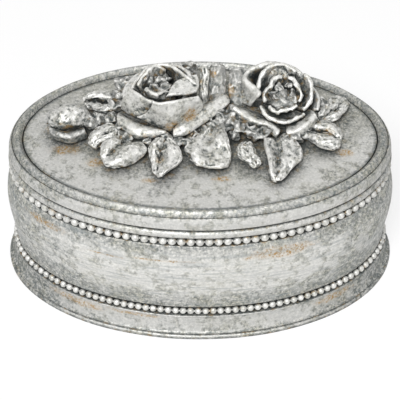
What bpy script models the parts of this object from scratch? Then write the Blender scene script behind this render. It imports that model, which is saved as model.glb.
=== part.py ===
"""Oval keepsake box with a lift-off lid and a sprig of roses, in metres, +Z up.

The origin is the centre of the oval on the surface that the box stands on.
+X runs along the length and -Y is the front.  Every moulding follows one oval:
a ring of the box is the foot's oval drawn in by an inset, so all rings stay
parallel.  Flowers and leaves are thin curved sheets given a thickness.
"""

import math

import bmesh
import bpy
from mathutils import Matrix, Vector

COLLECTION_NAME = "oval_keepsake_box"

# Foot and the gap between touching pieces
FOOT_HALF_LENGTH = 0.0650
FOOT_HALF_WIDTH = 0.0415
PIECE_GAP = 0.0003
OVAL_SEGMENTS = 48
SHARP_ANGLE_DEG = 40.0
FOOT_RING_WIDTH = 0.0050
FOOT_LIP_HEIGHT = 0.0023
FOOT_FLARE_HEIGHT = 0.0062
FOOT_FLARE_DRAW = 0.0024
FOOT_LIP_STEP = 0.0008
FOOT_FLARE_SHARES = (0.0, 0.3, 0.62, 1.0)
FOOT_LEDGE_HEIGHT = 0.0008
FOOT_LEDGE_OVERHANG = 0.0004

# Base shell
FELT_THICKNESS = 0.0008
FELT_CLEARANCE = 0.0001
FLOOR_THICKNESS = 0.0024
BELLY_HEIGHT = 0.0281
BELLY_INSET = 0.0033
BELLY_BULGE = 0.0019
BELLY_SEGMENTS = 7
BELLY_SKEW_SHARE = 1.5
INSIDE_WALL_SHARES = (0.85, 0.6, 0.3)
WALL_THICKNESS = 0.0028
MOUTH_WALL = 0.0022

# Bead rows and the rim
LOWER_BEAD_DIAMETER = 0.0023
LOWER_BEAD_INSET = 0.0032
LOWER_BEAD_COUNT = 131
UPPER_BEAD_DIAMETER = 0.0028
UPPER_BEAD_INSET = 0.0040
UPPER_BEAD_COUNT = 108
BEAD_WAIST_SHARE = 0.45
BEAD_PATH_SEGMENTS = 20
RIM_HEIGHT = 0.0029
RIM_INSET = 0.0028
RIM_ROUND = 0.0009
RIM_NOSE_SHARES = (-1.0, -0.5, 0.0, 0.5, 1.0)

# Lid
LID_BAND_INSET = 0.0031
LID_BAND_HEIGHT = 0.0050
LID_BAND_ROUND = 0.0010
LID_BAND_SHARES = (0.0, 0.28, 0.6, 0.85, 1.0)
RIDGE_GROOVE_WIDTH = 0.0004
RIDGE_WIDTH = 0.0032
RIDGE_HEIGHT = 0.0016
RIDGE_SHARES = (0.18, 0.42, 0.68, 0.9)
PANEL_THICKNESS = 0.0024
PANEL_LEDGE_WIDTH = 0.0020
PANEL_LEDGE_THICKNESS = 0.0024
LOCATING_RING_CLEARANCE = 0.0004
LOCATING_RING_WIDTH = 0.0020
LOCATING_RING_DEPTH = 0.0036
LOCATING_RING_CHAMFER = 0.0006

# Clear field beyond the bud's tip and beyond the front leaves
SPRIG_END_CLEARANCE = 0.0078
SPRIG_FRONT_CLEARANCE = 0.0095

# Mound and seats under the flowers
MOUND_HALF_LENGTH = 0.0275
MOUND_HALF_WIDTH = 0.0095
MOUND_HEIGHT = 0.0018
MOUND_CENTRE_X = 0.0075
MOUND_CENTRE_Y = 0.0080
MOUND_EDGE_DRAW = 0.0012
EDGE_SWELL_SHARE = 0.25
MOUND_SEGMENTS = 32
SEAT_SEGMENTS = 24
SEAT_EDGE_DRAW = 0.0014

# Sheets
PETAL_THICKNESS = 0.0010
PETAL_ROW_STEP = 0.0015
PETAL_SIDE_GAP = 0.0005
PETAL_SEGMENT_DEG = 20.0
PETAL_LEAST_SEGMENTS = 4
PETAL_SEGMENTS = 4
CUP_ROUND_SHARE = 1.0
OUTER_ROUND_SHARE = 0.35
LEAF_THICKNESS = 0.0011

# Left rose
LEFT_ROSE_X = -0.0128
LEFT_ROSE_Y = 0.0090
LEFT_ROSE_RADIUS = 0.0095
LEFT_ROSE_DEPTH = 0.0105
LEFT_SEAT_RADIUS = 0.0062
LEFT_SEAT_HEIGHT = 0.0010
LEFT_BOSS_HEIGHT = 0.0024
LEFT_BOSS_RADIUS = 0.0038

# Right rose
RIGHT_ROSE_X = 0.0268
RIGHT_ROSE_Y = 0.0080
RIGHT_ROSE_RADIUS = 0.0090
RIGHT_ROSE_DEPTH = 0.0052
RIGHT_ROSE_SET_BACK = 0.0020
RIGHT_ROSE_LIFT = 0.0034
RIGHT_ROSE_TILT_DEG = 30.0
RIGHT_SEAT_RADIUS = 0.0072
RIGHT_SEAT_HEIGHT = 0.0008
RIGHT_BOSS_HEIGHT = 0.0006
RIGHT_BOSS_RADIUS = 0.0036

# Heart of a rose
HEART_RADIUS = 0.0036
HEART_START_SHARE = 0.25
HEART_WAIST_SHARE = 0.18
HEART_LIP_SLOPE_SHARE = 0.12
HEART_TURNS_DEG = 560.0
HEART_SHEET = 0.0008
HEART_SEGMENTS = (24, 2)

# Leaves
LEAF_LENGTH = 0.0225
LEAF_WIDTH = 0.0125
LEAF_ARCH = 0.0022
LEAF_FOLD = 0.0012
LEAF_STALK_WIDTH = 0.0022
LEAF_FULLNESS_SHARE = 1.15
LEAF_TIP_SHARE = 0.08
LEAF_ARCH_START_SHARE = 0.12
LEAF_SEGMENTS = (4, 6)

# Upright petals between the roses
UPRIGHT_SPACING = 0.0050
UPRIGHT_HEIGHT = 0.0146
UPRIGHT_WIDTH = 0.0058
UPRIGHT_LEAN = 0.0105
UPRIGHT_BULGE = 0.0016
UPRIGHT_START_Y = 0.0055
UPRIGHT_END_WIDTH_SHARE = 0.8
UPRIGHT_RISE_SHARE = 0.8
UPRIGHT_SEGMENTS = (4, 4)

# Bud
BUD_LENGTH = 0.0140
BUD_DIAMETER = 0.0092
BUD_DISTANCE = 0.0222
BUD_Y = 0.0035
BUD_TURN_DEG = 8.0
BUD_TAPER_SHARE = 0.22
BUD_SEGMENTS = 14
BUD_RINGS_SEGMENTS = 9
SEPAL_WIDTH = 0.0042
SEPAL_BEND_DEG = 124.0
SEPAL_TIP_SHARE = 0.12
SEPAL_FULLNESS_SHARE = 0.7
SEPAL_INNER_SHARE = 0.25
SEPAL_REACH_SHARE = 0.62
SEPAL_SEGMENTS = (2, 8)
STEM_DIAMETER = 0.0028
STEM_LENGTH = 0.0058
STEM_RISE = 0.0038
STEM_SEGMENTS = 4

# Heights worked out from the sizes above, from the floor up
FOOT_TOP = FOOT_LIP_HEIGHT + FOOT_FLARE_HEIGHT + FOOT_LEDGE_HEIGHT
LOWER_BEAD_Z = FOOT_TOP + PIECE_GAP + LOWER_BEAD_DIAMETER / 2
BELLY_BOTTOM = FOOT_TOP + LOWER_BEAD_DIAMETER + 2 * PIECE_GAP
BELLY_TOP = BELLY_BOTTOM + BELLY_HEIGHT
UPPER_BEAD_Z = BELLY_TOP + PIECE_GAP + UPPER_BEAD_DIAMETER / 2
WALL_TOP = BELLY_TOP + PIECE_GAP + UPPER_BEAD_DIAMETER
RIM_BOTTOM = WALL_TOP + PIECE_GAP
RIM_TOP = RIM_BOTTOM + RIM_HEIGHT
LID_BOTTOM = RIM_TOP + PIECE_GAP
LID_SHOULDER = LID_BOTTOM + LID_BAND_HEIGHT
PANEL_BOTTOM = LID_BOTTOM + PANEL_LEDGE_THICKNESS + PIECE_GAP
FIELD = PANEL_BOTTOM + PANEL_THICKNESS
MOUND_BOTTOM = FIELD + PIECE_GAP
MOUND_TOP = MOUND_BOTTOM + MOUND_HEIGHT

# Insets worked out from the sizes above, from the foot's edge inwards
SHELL_FOOT_INSET = FOOT_RING_WIDTH + PIECE_GAP
FLOOR_BOTTOM = FELT_CLEARANCE + FELT_THICKNESS + PIECE_GAP
LOWER_CHANNEL_INSET = LOWER_BEAD_INSET + LOWER_BEAD_DIAMETER / 2 + PIECE_GAP
UPPER_CHANNEL_INSET = UPPER_BEAD_INSET + UPPER_BEAD_DIAMETER / 2 + PIECE_GAP
MOUTH_INSET = UPPER_CHANNEL_INSET + MOUTH_WALL
RIDGE_INSET = LID_BAND_INSET + LID_BAND_ROUND + RIDGE_GROOVE_WIDTH
PANEL_SEAT_INSET = RIDGE_INSET + RIDGE_WIDTH
PANEL_INSET = PANEL_SEAT_INSET + PIECE_GAP
LID_OPENING_INSET = PANEL_SEAT_INSET + PANEL_LEDGE_WIDTH
LOCATING_RING_INSET = MOUTH_INSET + LOCATING_RING_CLEARANCE
FIELD_HALF_LENGTH = FOOT_HALF_LENGTH - PANEL_INSET
FIELD_HALF_WIDTH = FOOT_HALF_WIDTH - PANEL_INSET
BUD_X = MOUND_CENTRE_X - MOUND_HALF_LENGTH - BUD_DISTANCE

# How far the sprig reaches as drawn, and the space that the field gives it
SPRIG_LEFT_REACH = BUD_LENGTH / 2 - BUD_X
SPRIG_FRONT_REACH = MOUND_HALF_WIDTH + LEAF_LENGTH - MOUND_CENTRE_Y
SPRIG_LEFT_SPACE = FIELD_HALF_LENGTH - SPRIG_END_CLEARANCE
SPRIG_FRONT_SPACE = FIELD_HALF_WIDTH - SPRIG_FRONT_CLEARANCE

# Petal rows: name, start and end angle in degrees, then the lip's radius at its start,
# middle and end, and the lip's height at the same three, as shares of radius and depth
LEFT_CUP_SHARES = (
    ("front", 232, 326, (0.96, 1.02, 1.00), (0.94, 0.90, 0.96)),
    ("right", 330, 446, (1.00, 1.00, 0.96), (0.96, 0.95, 0.96)),
    ("back", 92, 228, (0.98, 1.00, 0.97), (0.96, 1.00, 0.96)),
)
LEFT_INNER_SHARES = (
    ("front", 200, 308, (0.58, 0.62, 0.64), (1.00, 1.08, 1.05)),
    ("right", 316, 424, (0.58, 0.62, 0.64), (1.05, 1.10, 1.10)),
    ("back", 72, 192, (0.58, 0.62, 0.64), (1.10, 1.14, 1.05)),
)
LEFT_OUTER_SHARES = (
    ("front_left", 190, 276, (1.52, 1.44, 1.26), (0.13, 0.07, 0.05)),
    ("front_right", 282, 346, (1.28, 1.62, 2.15), (0.04, 0.12, 0.40)),
    ("back_right", 60, 100, (1.22, 1.24, 1.24), (0.62, 0.70, 0.72)),
    ("back_left", 106, 182, (1.24, 1.27, 1.30), (0.72, 0.66, 0.46)),
)
RIGHT_CUP_SHARES = (
    ("front", 196, 300, (0.98, 1.00, 1.04), (0.98, 0.92, 1.00)),
    ("right", 305, 412, (1.00, 1.02, 1.02), (1.00, 1.06, 1.02)),
    ("left", 58, 190, (1.06, 1.04, 0.98), (1.10, 1.14, 1.00)),
)
RIGHT_INNER_SHARES = (
    ("front", 214, 320, (0.58, 0.62, 0.64), (1.05, 1.00, 1.10)),
    ("right", 328, 436, (0.58, 0.62, 0.64), (1.05, 1.15, 1.15)),
    ("left", 84, 206, (0.58, 0.62, 0.64), (1.15, 1.15, 1.05)),
)
RIGHT_OUTER_SHARES = (
    ("front_left", 190, 264, (1.80, 1.42, 1.50), (0.90, 0.62, 0.40)),
    ("front_right", 272, 330, (1.25, 1.40, 1.45), (0.42, 0.52, 0.72)),
    ("right", 338, 400, (1.28, 1.25, 1.22), (0.90, 1.10, 1.30)),
    ("back", 50, 112, (1.30, 1.34, 1.36), (1.70, 2.00, 2.10)),
    ("back_left", 118, 180, (1.38, 1.48, 1.36), (2.00, 1.90, 1.40)),
)

# Leaves: name, angle round the mound where the stalk starts, direction it points in,
# then length, width and arch as shares of the leaf sizes, and how far the blade folds
LEAF_SHARES = (
    ("leaf_left", 164, 166, 0.93, 0.66, 1.15, 0.6),
    ("leaf_left_small", 190, 210, 0.74, 0.50, 0.80, 0.8),
    ("leaf_front_left", 216, 227, 1.02, 0.80, 0.80, 0.9),
    ("leaf_front_middle_left", 236, 256, 0.97, 0.96, 1.10, -0.9),
    ("leaf_front_centre", 260, 276, 0.68, 1.16, 1.00, 1.0),
    ("leaf_front_small", 282, 288, 0.66, 0.50, 0.90, 0.8),
    ("leaf_front_right", 320, 260, 1.07, 1.02, 1.00, 1.1),
    ("leaf_right", 340, 318, 0.76, 0.76, 1.10, 0.9),
    ("leaf_right_back", 14, 18, 0.62, 0.66, 1.10, 1.0),
    ("leaf_back_right", 48, 42, 0.55, 0.66, 0.90, 0.8),
    ("leaf_back_centre", 76, 88, 0.50, 0.66, 0.90, 0.8),
    ("leaf_back_left", 116, 108, 0.52, 0.66, 0.90, 0.8),
    ("leaf_left_back", 140, 139, 0.60, 0.62, 0.90, 0.8),
)

# Upright petals: name, place from the mound's middle in spacings, then start, height,
# width and lean as shares of the upright sizes
UPRIGHT_SHARES = (
    ("upright_petal_left", -2.200, 2.55, 0.90, 0.86, 0.42),
    ("upright_petal_rib", -1.309, 1.00, 0.98, 0.66, 1.12),
    ("upright_petal_centre", -0.308, 1.05, 0.96, 0.76, 1.02),
    ("upright_petal_right", 0.759, 1.10, 0.90, 0.86, 0.92),
)

# Finishes: colour, metallic value and roughness
MOULDING_FINISH = ((0.62, 0.61, 0.58), 1.0, 0.40)
PETAL_FINISH = ((0.66, 0.65, 0.62), 1.0, 0.35)
SEAT_FINISH = ((0.56, 0.54, 0.48), 1.0, 0.45)
FELT_FINISH = ((0.05, 0.05, 0.055), 0.0, 0.90)


def clear_scene():
    """Remove every object that the file holds."""
    for item in list(bpy.data.objects):
        bpy.data.objects.remove(item, do_unlink=True)


def make_collection():
    """Make the collection that holds the box's pieces."""
    collection = bpy.data.collections.new(COLLECTION_NAME)
    bpy.context.scene.collection.children.link(collection)
    return collection


def make_material(name, colour, metallic, roughness):
    """Make a plain Principled material for one sub-part."""
    material = bpy.data.materials.new(name)
    material.use_nodes = True
    shader = material.node_tree.nodes["Principled BSDF"]
    shader.inputs["Base Color"].default_value = (*colour, 1.0)
    shader.inputs["Metallic"].default_value = metallic
    shader.inputs["Roughness"].default_value = roughness
    material.diffuse_color = (*colour, 1.0)
    return material


def add_object(name, data, collection, finish, body):
    """Link an object into the collection, under its body, with its own material."""
    item = bpy.data.objects.new(name, data)
    data.materials.append(make_material(name, *finish))
    collection.objects.link(item)
    item.parent = body
    return item


def mesh_from(bm, name):
    """Turn a bmesh into a smooth-shaded mesh whose faces point out."""
    bmesh.ops.recalc_face_normals(bm, faces=bm.faces)
    if bm.calc_volume(signed=True) < 0:
        bmesh.ops.reverse_faces(bm, faces=bm.faces)
    mesh = bpy.data.meshes.new(name)
    bm.to_mesh(mesh)
    bm.free()
    mesh.shade_smooth()
    mesh.set_sharp_from_angle(angle=math.radians(SHARP_ANGLE_DEG))
    return mesh


def on_oval(inset, angle, height, oval=None):
    """Return a point on a ring: the oval's edge drawn in by an inset, at an angle and a height."""
    half_length, half_width = oval or (FOOT_HALF_LENGTH, FOOT_HALF_WIDTH)
    return Vector((
        (half_length - inset) * math.cos(angle),
        (half_width - inset) * math.sin(angle),
        height,
    ))


def oval_moulding(name, profile, closed, oval=None, segments=OVAL_SEGMENTS):
    """Sweep a profile of (inset, height) points round an oval.

    A closed profile makes a ring.  An open one is capped at both of its ends,
    which makes a plate or a bowl.
    """
    bm = bmesh.new()
    angle_of = bm.verts.layers.float.new("angle")
    bmesh.ops.create_circle(bm, segments=segments, radius=1.0, cap_ends=False)
    verts = list(bm.verts)
    edges = list(bm.edges)
    for vert in verts:
        vert[angle_of] = math.atan2(vert.co.y, vert.co.x)
    loops = []
    for step, (inset, height) in enumerate(profile):
        if step:
            made = bmesh.ops.extrude_edge_only(bm, edges=edges)["geom"]
            verts = [item for item in made if isinstance(item, bmesh.types.BMVert)]
            edges = [item for item in made if isinstance(item, bmesh.types.BMEdge)
                     and item.verts[0] in verts and item.verts[1] in verts]
        for vert in verts:
            vert.co = on_oval(inset, vert[angle_of], height, oval)
        loops.append(edges)
    if closed:
        bmesh.ops.bridge_loops(bm, edges=loops[0] + loops[-1])
    else:
        bmesh.ops.contextual_create(bm, geom=loops[0])
        bmesh.ops.contextual_create(bm, geom=loops[-1])
    return mesh_from(bm, name)


def foot_ring_profile():
    """Return the flared foot's section: lip, hollow flare and ledge."""
    flare_top = FOOT_LIP_HEIGHT + FOOT_FLARE_HEIGHT
    flare = []
    for share in FOOT_FLARE_SHARES:
        turn = math.radians(90) * share
        inset = FOOT_LIP_STEP + (FOOT_FLARE_DRAW - FOOT_LIP_STEP) * math.sin(turn)
        height = FOOT_LIP_HEIGHT + FOOT_FLARE_HEIGHT * (1 - math.cos(turn))
        flare.append((inset, height))
    return [
        (0.0, 0.0),
        (0.0, FOOT_LIP_HEIGHT),
        *flare,
        (FOOT_FLARE_DRAW - FOOT_LEDGE_OVERHANG, flare_top),
        (FOOT_FLARE_DRAW - FOOT_LEDGE_OVERHANG, FOOT_TOP),
        (FOOT_RING_WIDTH, FOOT_TOP),
        (FOOT_RING_WIDTH, 0.0),
    ]


def belly_point(share):
    """Return the belly's outer (inset, height) at a share of its height."""
    swell = math.sin(math.pi * share ** BELLY_SKEW_SHARE)
    return (BELLY_INSET - BELLY_BULGE * swell, BELLY_BOTTOM + BELLY_HEIGHT * share)


def base_shell_profile():
    """Return the bowl's section, from the middle of its underside to its inside floor."""
    inner_floor = FLOOR_BOTTOM + FLOOR_THICKNESS
    outside = [
        (SHELL_FOOT_INSET, FLOOR_BOTTOM),
        (SHELL_FOOT_INSET, FOOT_TOP + PIECE_GAP),
        (LOWER_CHANNEL_INSET, FOOT_TOP + PIECE_GAP),
        (LOWER_CHANNEL_INSET, BELLY_BOTTOM),
    ]
    belly = [belly_point(step / BELLY_SEGMENTS) for step in range(BELLY_SEGMENTS + 1)]
    top = [
        (UPPER_CHANNEL_INSET, BELLY_TOP),
        (UPPER_CHANNEL_INSET, WALL_TOP),
        (MOUTH_INSET, WALL_TOP),
        (MOUTH_INSET, BELLY_TOP),
    ]
    inside = []
    for share in INSIDE_WALL_SHARES:
        inset, height = belly_point(share)
        inside.append((inset + WALL_THICKNESS, height))
    floor = [
        (SHELL_FOOT_INSET + WALL_THICKNESS, FOOT_TOP),
        (SHELL_FOOT_INSET + WALL_THICKNESS, inner_floor),
    ]
    return outside + belly + top + inside + floor


def plate_profile(inset, bottom, top):
    """Return the section of a flat oval plate."""
    return [(inset, bottom), (inset, top)]


def rim_profile():
    """Return the section of the half-round rim that the lid stands on."""
    middle = (RIM_BOTTOM + RIM_TOP) / 2
    nose = []
    for share in RIM_NOSE_SHARES:
        turn = math.radians(90) * share
        nose.append((RIM_INSET + RIM_ROUND * (1 - math.cos(turn)),
                     middle + RIM_HEIGHT / 2 * math.sin(turn)))
    return nose + [(MOUTH_INSET, RIM_TOP), (MOUTH_INSET, RIM_BOTTOM)]


def lid_rim_profile():
    """Return the section of the lid's edge: side band, groove, ridge and panel ledge."""
    band = []
    for share in LID_BAND_SHARES:
        lean = LID_BAND_ROUND * share ** 3
        band.append((LID_BAND_INSET + lean, LID_BOTTOM + LID_BAND_HEIGHT * share))
    groove = [(RIDGE_INSET, LID_SHOULDER)]
    ridge = []
    for share in RIDGE_SHARES:
        ridge.append((RIDGE_INSET + RIDGE_WIDTH * share,
                      LID_SHOULDER + RIDGE_HEIGHT * math.sin(math.pi * share)))
    seat = [
        (PANEL_SEAT_INSET, FIELD),
        (PANEL_SEAT_INSET, LID_BOTTOM + PANEL_LEDGE_THICKNESS),
        (LID_OPENING_INSET, LID_BOTTOM + PANEL_LEDGE_THICKNESS),
        (LID_OPENING_INSET, LID_BOTTOM),
    ]
    return band + groove + ridge + seat


def locating_ring_profile():
    """Return the section of the ring under the lid that drops into the box's mouth."""
    inner = LOCATING_RING_INSET + LOCATING_RING_WIDTH
    bottom = RIM_TOP - LOCATING_RING_DEPTH
    return [
        (LOCATING_RING_INSET + LOCATING_RING_CHAMFER, bottom),
        (LOCATING_RING_INSET, bottom + LOCATING_RING_CHAMFER),
        (LOCATING_RING_INSET, RIM_TOP),
        (inner, RIM_TOP),
        (inner, bottom),
    ]


def evenly_spaced_angles(inset, count):
    """Return the angles of points spaced evenly by length round an oval."""
    fine = BEAD_PATH_SEGMENTS * count
    lengths = [0.0]
    before = on_oval(inset, 0.0, 0.0)
    for step in range(1, fine + 1):
        point = on_oval(inset, math.tau * step / fine, 0.0)
        lengths.append(lengths[-1] + (point - before).length)
        before = point
    angles = []
    step = 0
    for index in range(count):
        wanted = lengths[-1] * index / count
        while lengths[step + 1] < wanted:
            step += 1
        share = (wanted - lengths[step]) / (lengths[step + 1] - lengths[step])
        angles.append(math.tau * (step + share) / fine)
    return angles


def bead_row(name, inset, height, diameter, count):
    """Return a closed beaded wire: one curve whose radius swells at every bead."""
    curve = bpy.data.curves.new(name, "CURVE")
    curve.dimensions = "3D"
    curve.bevel_depth = diameter / 2
    curve.bevel_resolution = 0
    curve.resolution_u = 1
    spline = curve.splines.new("POLY")
    angles = evenly_spaced_angles(inset, 2 * count)
    spline.points.add(len(angles) - 1)
    for index, angle in enumerate(angles):
        point = spline.points[index]
        point.co = (*on_oval(inset, angle, height), 1.0)
        point.radius = 1.0 if index % 2 else BEAD_WAIST_SHARE
    spline.use_cyclic_u = True
    return curve


def through_three(values, share):
    """Return the value at a share along a curve through three values."""
    start, middle, end = values
    low = start + (middle - start) * 2 * share
    high = middle + (end - middle) * (2 * share - 1)
    return low + (high - low) * share


def sheet(name, segments, place):
    """Return a grid mesh whose points are moved to place(across share, along share)."""
    across, along = segments
    bm = bmesh.new()
    bmesh.ops.create_grid(bm, x_segments=across, y_segments=along, size=1.0)
    for vert in bm.verts:
        vert.co = place((vert.co.x + 1) / 2, (vert.co.y + 1) / 2)
    mesh = bpy.data.meshes.new(name)
    bm.to_mesh(mesh)
    bm.free()
    mesh.shade_smooth()
    return mesh


def thicken(item, thickness, offset):
    """Give a sheet its thickness with a Solidify modifier."""
    solid = item.modifiers.new("thickness", "SOLIDIFY")
    solid.thickness = thickness
    solid.offset = offset
    return item


def petal_place(spec, radius, depth, root_radius, root_height, roundness_share):
    """Return the function that lays a grid out as one petal round a rose's axis."""
    start, end, lip_radius, lip_height = spec
    side = PETAL_SIDE_GAP / radius
    low_angle = math.radians(start) + side
    high_angle = math.radians(end) - side

    def place(across, along):
        angle = low_angle + (high_angle - low_angle) * across
        outward = through_three(lip_radius, across) * radius - root_radius
        upward = through_three(lip_height, across) * depth - root_height
        quarter = math.radians(90) * along
        swell = roundness_share * math.sin(quarter) + (1 - roundness_share) * along
        rise = roundness_share * (1 - math.cos(quarter)) + (1 - roundness_share) * along
        reach = root_radius + outward * swell
        return Vector((reach * math.cos(angle), reach * math.sin(angle),
                       root_height + upward * rise))

    return place


def add_petal_row(flower, row, radius, depth, root_radius, root_height, roundness_share, frame):
    """Add one row of petals; frame is the rose's collection, body and matrix."""
    collection, body, matrix = frame
    for label, *spec in row:
        place = petal_place(spec, radius, depth, root_radius, root_height, roundness_share)
        start, end = spec[:2]
        across = max(PETAL_LEAST_SEGMENTS, round((end - start) / PETAL_SEGMENT_DEG))
        name = f"{flower}_{label}"
        item = add_object(name, sheet(name, (across, PETAL_SEGMENTS), place), collection,
                          PETAL_FINISH, body)
        item.matrix_basis = matrix
        thicken(item, PETAL_THICKNESS, 0.0)


def add_heart(name, root_height, height, frame):
    """Add the rolled heart of a rose: one sheet wound into a spiral."""
    collection, body, matrix = frame
    start_radius = HEART_RADIUS * HEART_START_SHARE
    turns = math.radians(HEART_TURNS_DEG)

    def place(across, along):
        angle = turns * across
        reach = start_radius + (HEART_RADIUS - start_radius) * across
        reach *= 1 - HEART_WAIST_SHARE * (1 - math.sin(math.pi * along))
        lip = height * (1 - HEART_LIP_SLOPE_SHARE * across)
        return Vector((reach * math.cos(angle), reach * math.sin(angle),
                       root_height + (lip - root_height) * along))

    item = add_object(name, sheet(name, HEART_SEGMENTS, place), collection,
                      PETAL_FINISH, body)
    item.matrix_basis = matrix
    thicken(item, HEART_SHEET, 0.0)


def add_mound(collection, body):
    """Add the low oval mound that carries the flowers."""
    profile = [
        (0.0, MOUND_BOTTOM),
        (MOUND_EDGE_DRAW * EDGE_SWELL_SHARE, MOUND_BOTTOM + MOUND_HEIGHT / 2),
        (MOUND_EDGE_DRAW, MOUND_TOP),
    ]
    mesh = oval_moulding("sprig_mound", profile, False,
                         (MOUND_HALF_LENGTH, MOUND_HALF_WIDTH), MOUND_SEGMENTS)
    item = add_object("sprig_mound", mesh, collection, SEAT_FINISH, body)
    item.location = (MOUND_CENTRE_X, MOUND_CENTRE_Y, 0.0)


def add_seat(name, place, seat, boss, collection, body):
    """Add the stepped round seat of a rose; seat and boss are (radius, height).

    It returns the heights of the step and of the boss's top.
    """
    radius, height = seat
    boss_radius, boss_height = boss
    bottom = MOUND_TOP + PIECE_GAP
    step = bottom + height
    top = step + boss_height
    profile = [
        (SEAT_EDGE_DRAW, bottom),
        (SEAT_EDGE_DRAW * EDGE_SWELL_SHARE, bottom + height / 2),
        (0.0, step),
        (radius - boss_radius, step),
        (radius - boss_radius, top),
    ]
    mesh = oval_moulding(name, profile, False, (radius, radius), SEAT_SEGMENTS)
    item = add_object(name, mesh, collection, SEAT_FINISH, body)
    item.location = (*place, 0.0)
    return step, top


def add_left_rose(collection, body):
    """Add the upright rose: seat, outer row, cup, inner row and heart, nested as bowls."""
    place = (LEFT_ROSE_X, LEFT_ROSE_Y)
    step, top = add_seat("left_rose_seat", place, (LEFT_SEAT_RADIUS, LEFT_SEAT_HEIGHT),
                         (LEFT_BOSS_RADIUS, LEFT_BOSS_HEIGHT), collection, body)
    first = PIECE_GAP + PETAL_THICKNESS / 2
    outer_frame = (collection, body, Matrix.Translation((*place, step)))
    add_petal_row("left_rose_outer", LEFT_OUTER_SHARES, LEFT_ROSE_RADIUS, LEFT_ROSE_DEPTH,
                  LEFT_SEAT_RADIUS - PETAL_THICKNESS, first, OUTER_ROUND_SHARE, outer_frame)
    frame = (collection, body, Matrix.Translation((*place, top)))
    root = LEFT_BOSS_RADIUS / 2
    for name, row, level in (("left_rose_cup", LEFT_CUP_SHARES, 0),
                             ("left_rose_inner", LEFT_INNER_SHARES, 1)):
        add_petal_row(name, row, LEFT_ROSE_RADIUS, LEFT_ROSE_DEPTH, root,
                      first + PETAL_ROW_STEP * level, CUP_ROUND_SHARE, frame)
    add_heart("left_rose_heart", first + PETAL_ROW_STEP * 2, LEFT_ROSE_DEPTH, frame)


def add_right_rose(collection, body):
    """Add the rose that faces the front: its cup and heart are tilted on the seat."""
    place = (RIGHT_ROSE_X, RIGHT_ROSE_Y)
    step, top = add_seat("right_rose_seat", place, (RIGHT_SEAT_RADIUS, RIGHT_SEAT_HEIGHT),
                         (RIGHT_BOSS_RADIUS, RIGHT_BOSS_HEIGHT), collection, body)
    first = PIECE_GAP + PETAL_THICKNESS / 2
    outer_frame = (collection, body, Matrix.Translation((*place, step)))
    add_petal_row("right_rose_outer", RIGHT_OUTER_SHARES, RIGHT_ROSE_RADIUS, RIGHT_ROSE_DEPTH,
                  RIGHT_SEAT_RADIUS, first, OUTER_ROUND_SHARE, outer_frame)
    tilt = Matrix.Rotation(math.radians(RIGHT_ROSE_TILT_DEG), 4, "X")
    base = Matrix.Translation((RIGHT_ROSE_X, RIGHT_ROSE_Y + RIGHT_ROSE_SET_BACK,
                               top + RIGHT_ROSE_LIFT))
    frame = (collection, body, base @ tilt)
    root = RIGHT_BOSS_RADIUS / 2
    for name, row, level in (("right_rose_cup", RIGHT_CUP_SHARES, 0),
                             ("right_rose_inner", RIGHT_INNER_SHARES, 1)):
        add_petal_row(name, row, RIGHT_ROSE_RADIUS, RIGHT_ROSE_DEPTH, root,
                      PETAL_ROW_STEP * level, CUP_ROUND_SHARE, frame)
    add_heart("right_rose_heart", PETAL_ROW_STEP * 2, RIGHT_ROSE_DEPTH, frame)


def tongue_place(start, rise, direction, length, width, profile):
    """Return the function that lays a grid out as a leaf along a direction."""
    side = Vector((direction.y, -direction.x, 0.0))
    outline, height = profile

    def place(across, along):
        sideways = (2 * across - 1) * width / 2 * outline(along)
        point = start + direction * (length * along) + side * sideways
        point.z = rise + height(2 * across - 1, along)
        return point

    return place


def leaf_outline(along):
    """Return a leaf's width at a share of its length, as a share of its full width."""
    stalk = LEAF_STALK_WIDTH / LEAF_WIDTH
    blade = math.sin(math.pi * along ** LEAF_FULLNESS_SHARE) if along < 1 else 0.0
    return max(blade, stalk + (LEAF_TIP_SHARE - stalk) * along)


def add_leaf(spec, collection, body):
    """Add one leaf that grows out of the mound's edge and lies on the lid."""
    name, start_deg, heading_deg, length_share, width_share, arch_share, fold_share = spec
    turn = math.radians(start_deg)
    heading = math.radians(heading_deg)
    direction = Vector((math.cos(heading), math.sin(heading), 0.0))
    edge = Vector((MOUND_CENTRE_X + MOUND_HALF_LENGTH * math.cos(turn),
                   MOUND_CENTRE_Y + MOUND_HALF_WIDTH * math.sin(turn), 0.0))
    start = edge + direction * (LEAF_STALK_WIDTH / 2 + PIECE_GAP)
    rest = FIELD + PIECE_GAP
    arch = LEAF_ARCH * arch_share
    fold = LEAF_FOLD * fold_share

    def height(side, along):
        share = LEAF_ARCH_START_SHARE + (1 - LEAF_ARCH_START_SHARE) * along
        dip = fold * (abs(side) - 1 / 2) * math.sin(math.pi * along)
        return max(0.0, arch * math.sin(math.pi * share) + dip)

    place = tongue_place(start, rest, direction, LEAF_LENGTH * length_share - LEAF_STALK_WIDTH,
                         LEAF_WIDTH * width_share, (leaf_outline, height))
    item = add_object(name, sheet(name, LEAF_SEGMENTS, place), collection,
                      PETAL_FINISH, body)
    thicken(item, LEAF_THICKNESS, 1.0)


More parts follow.
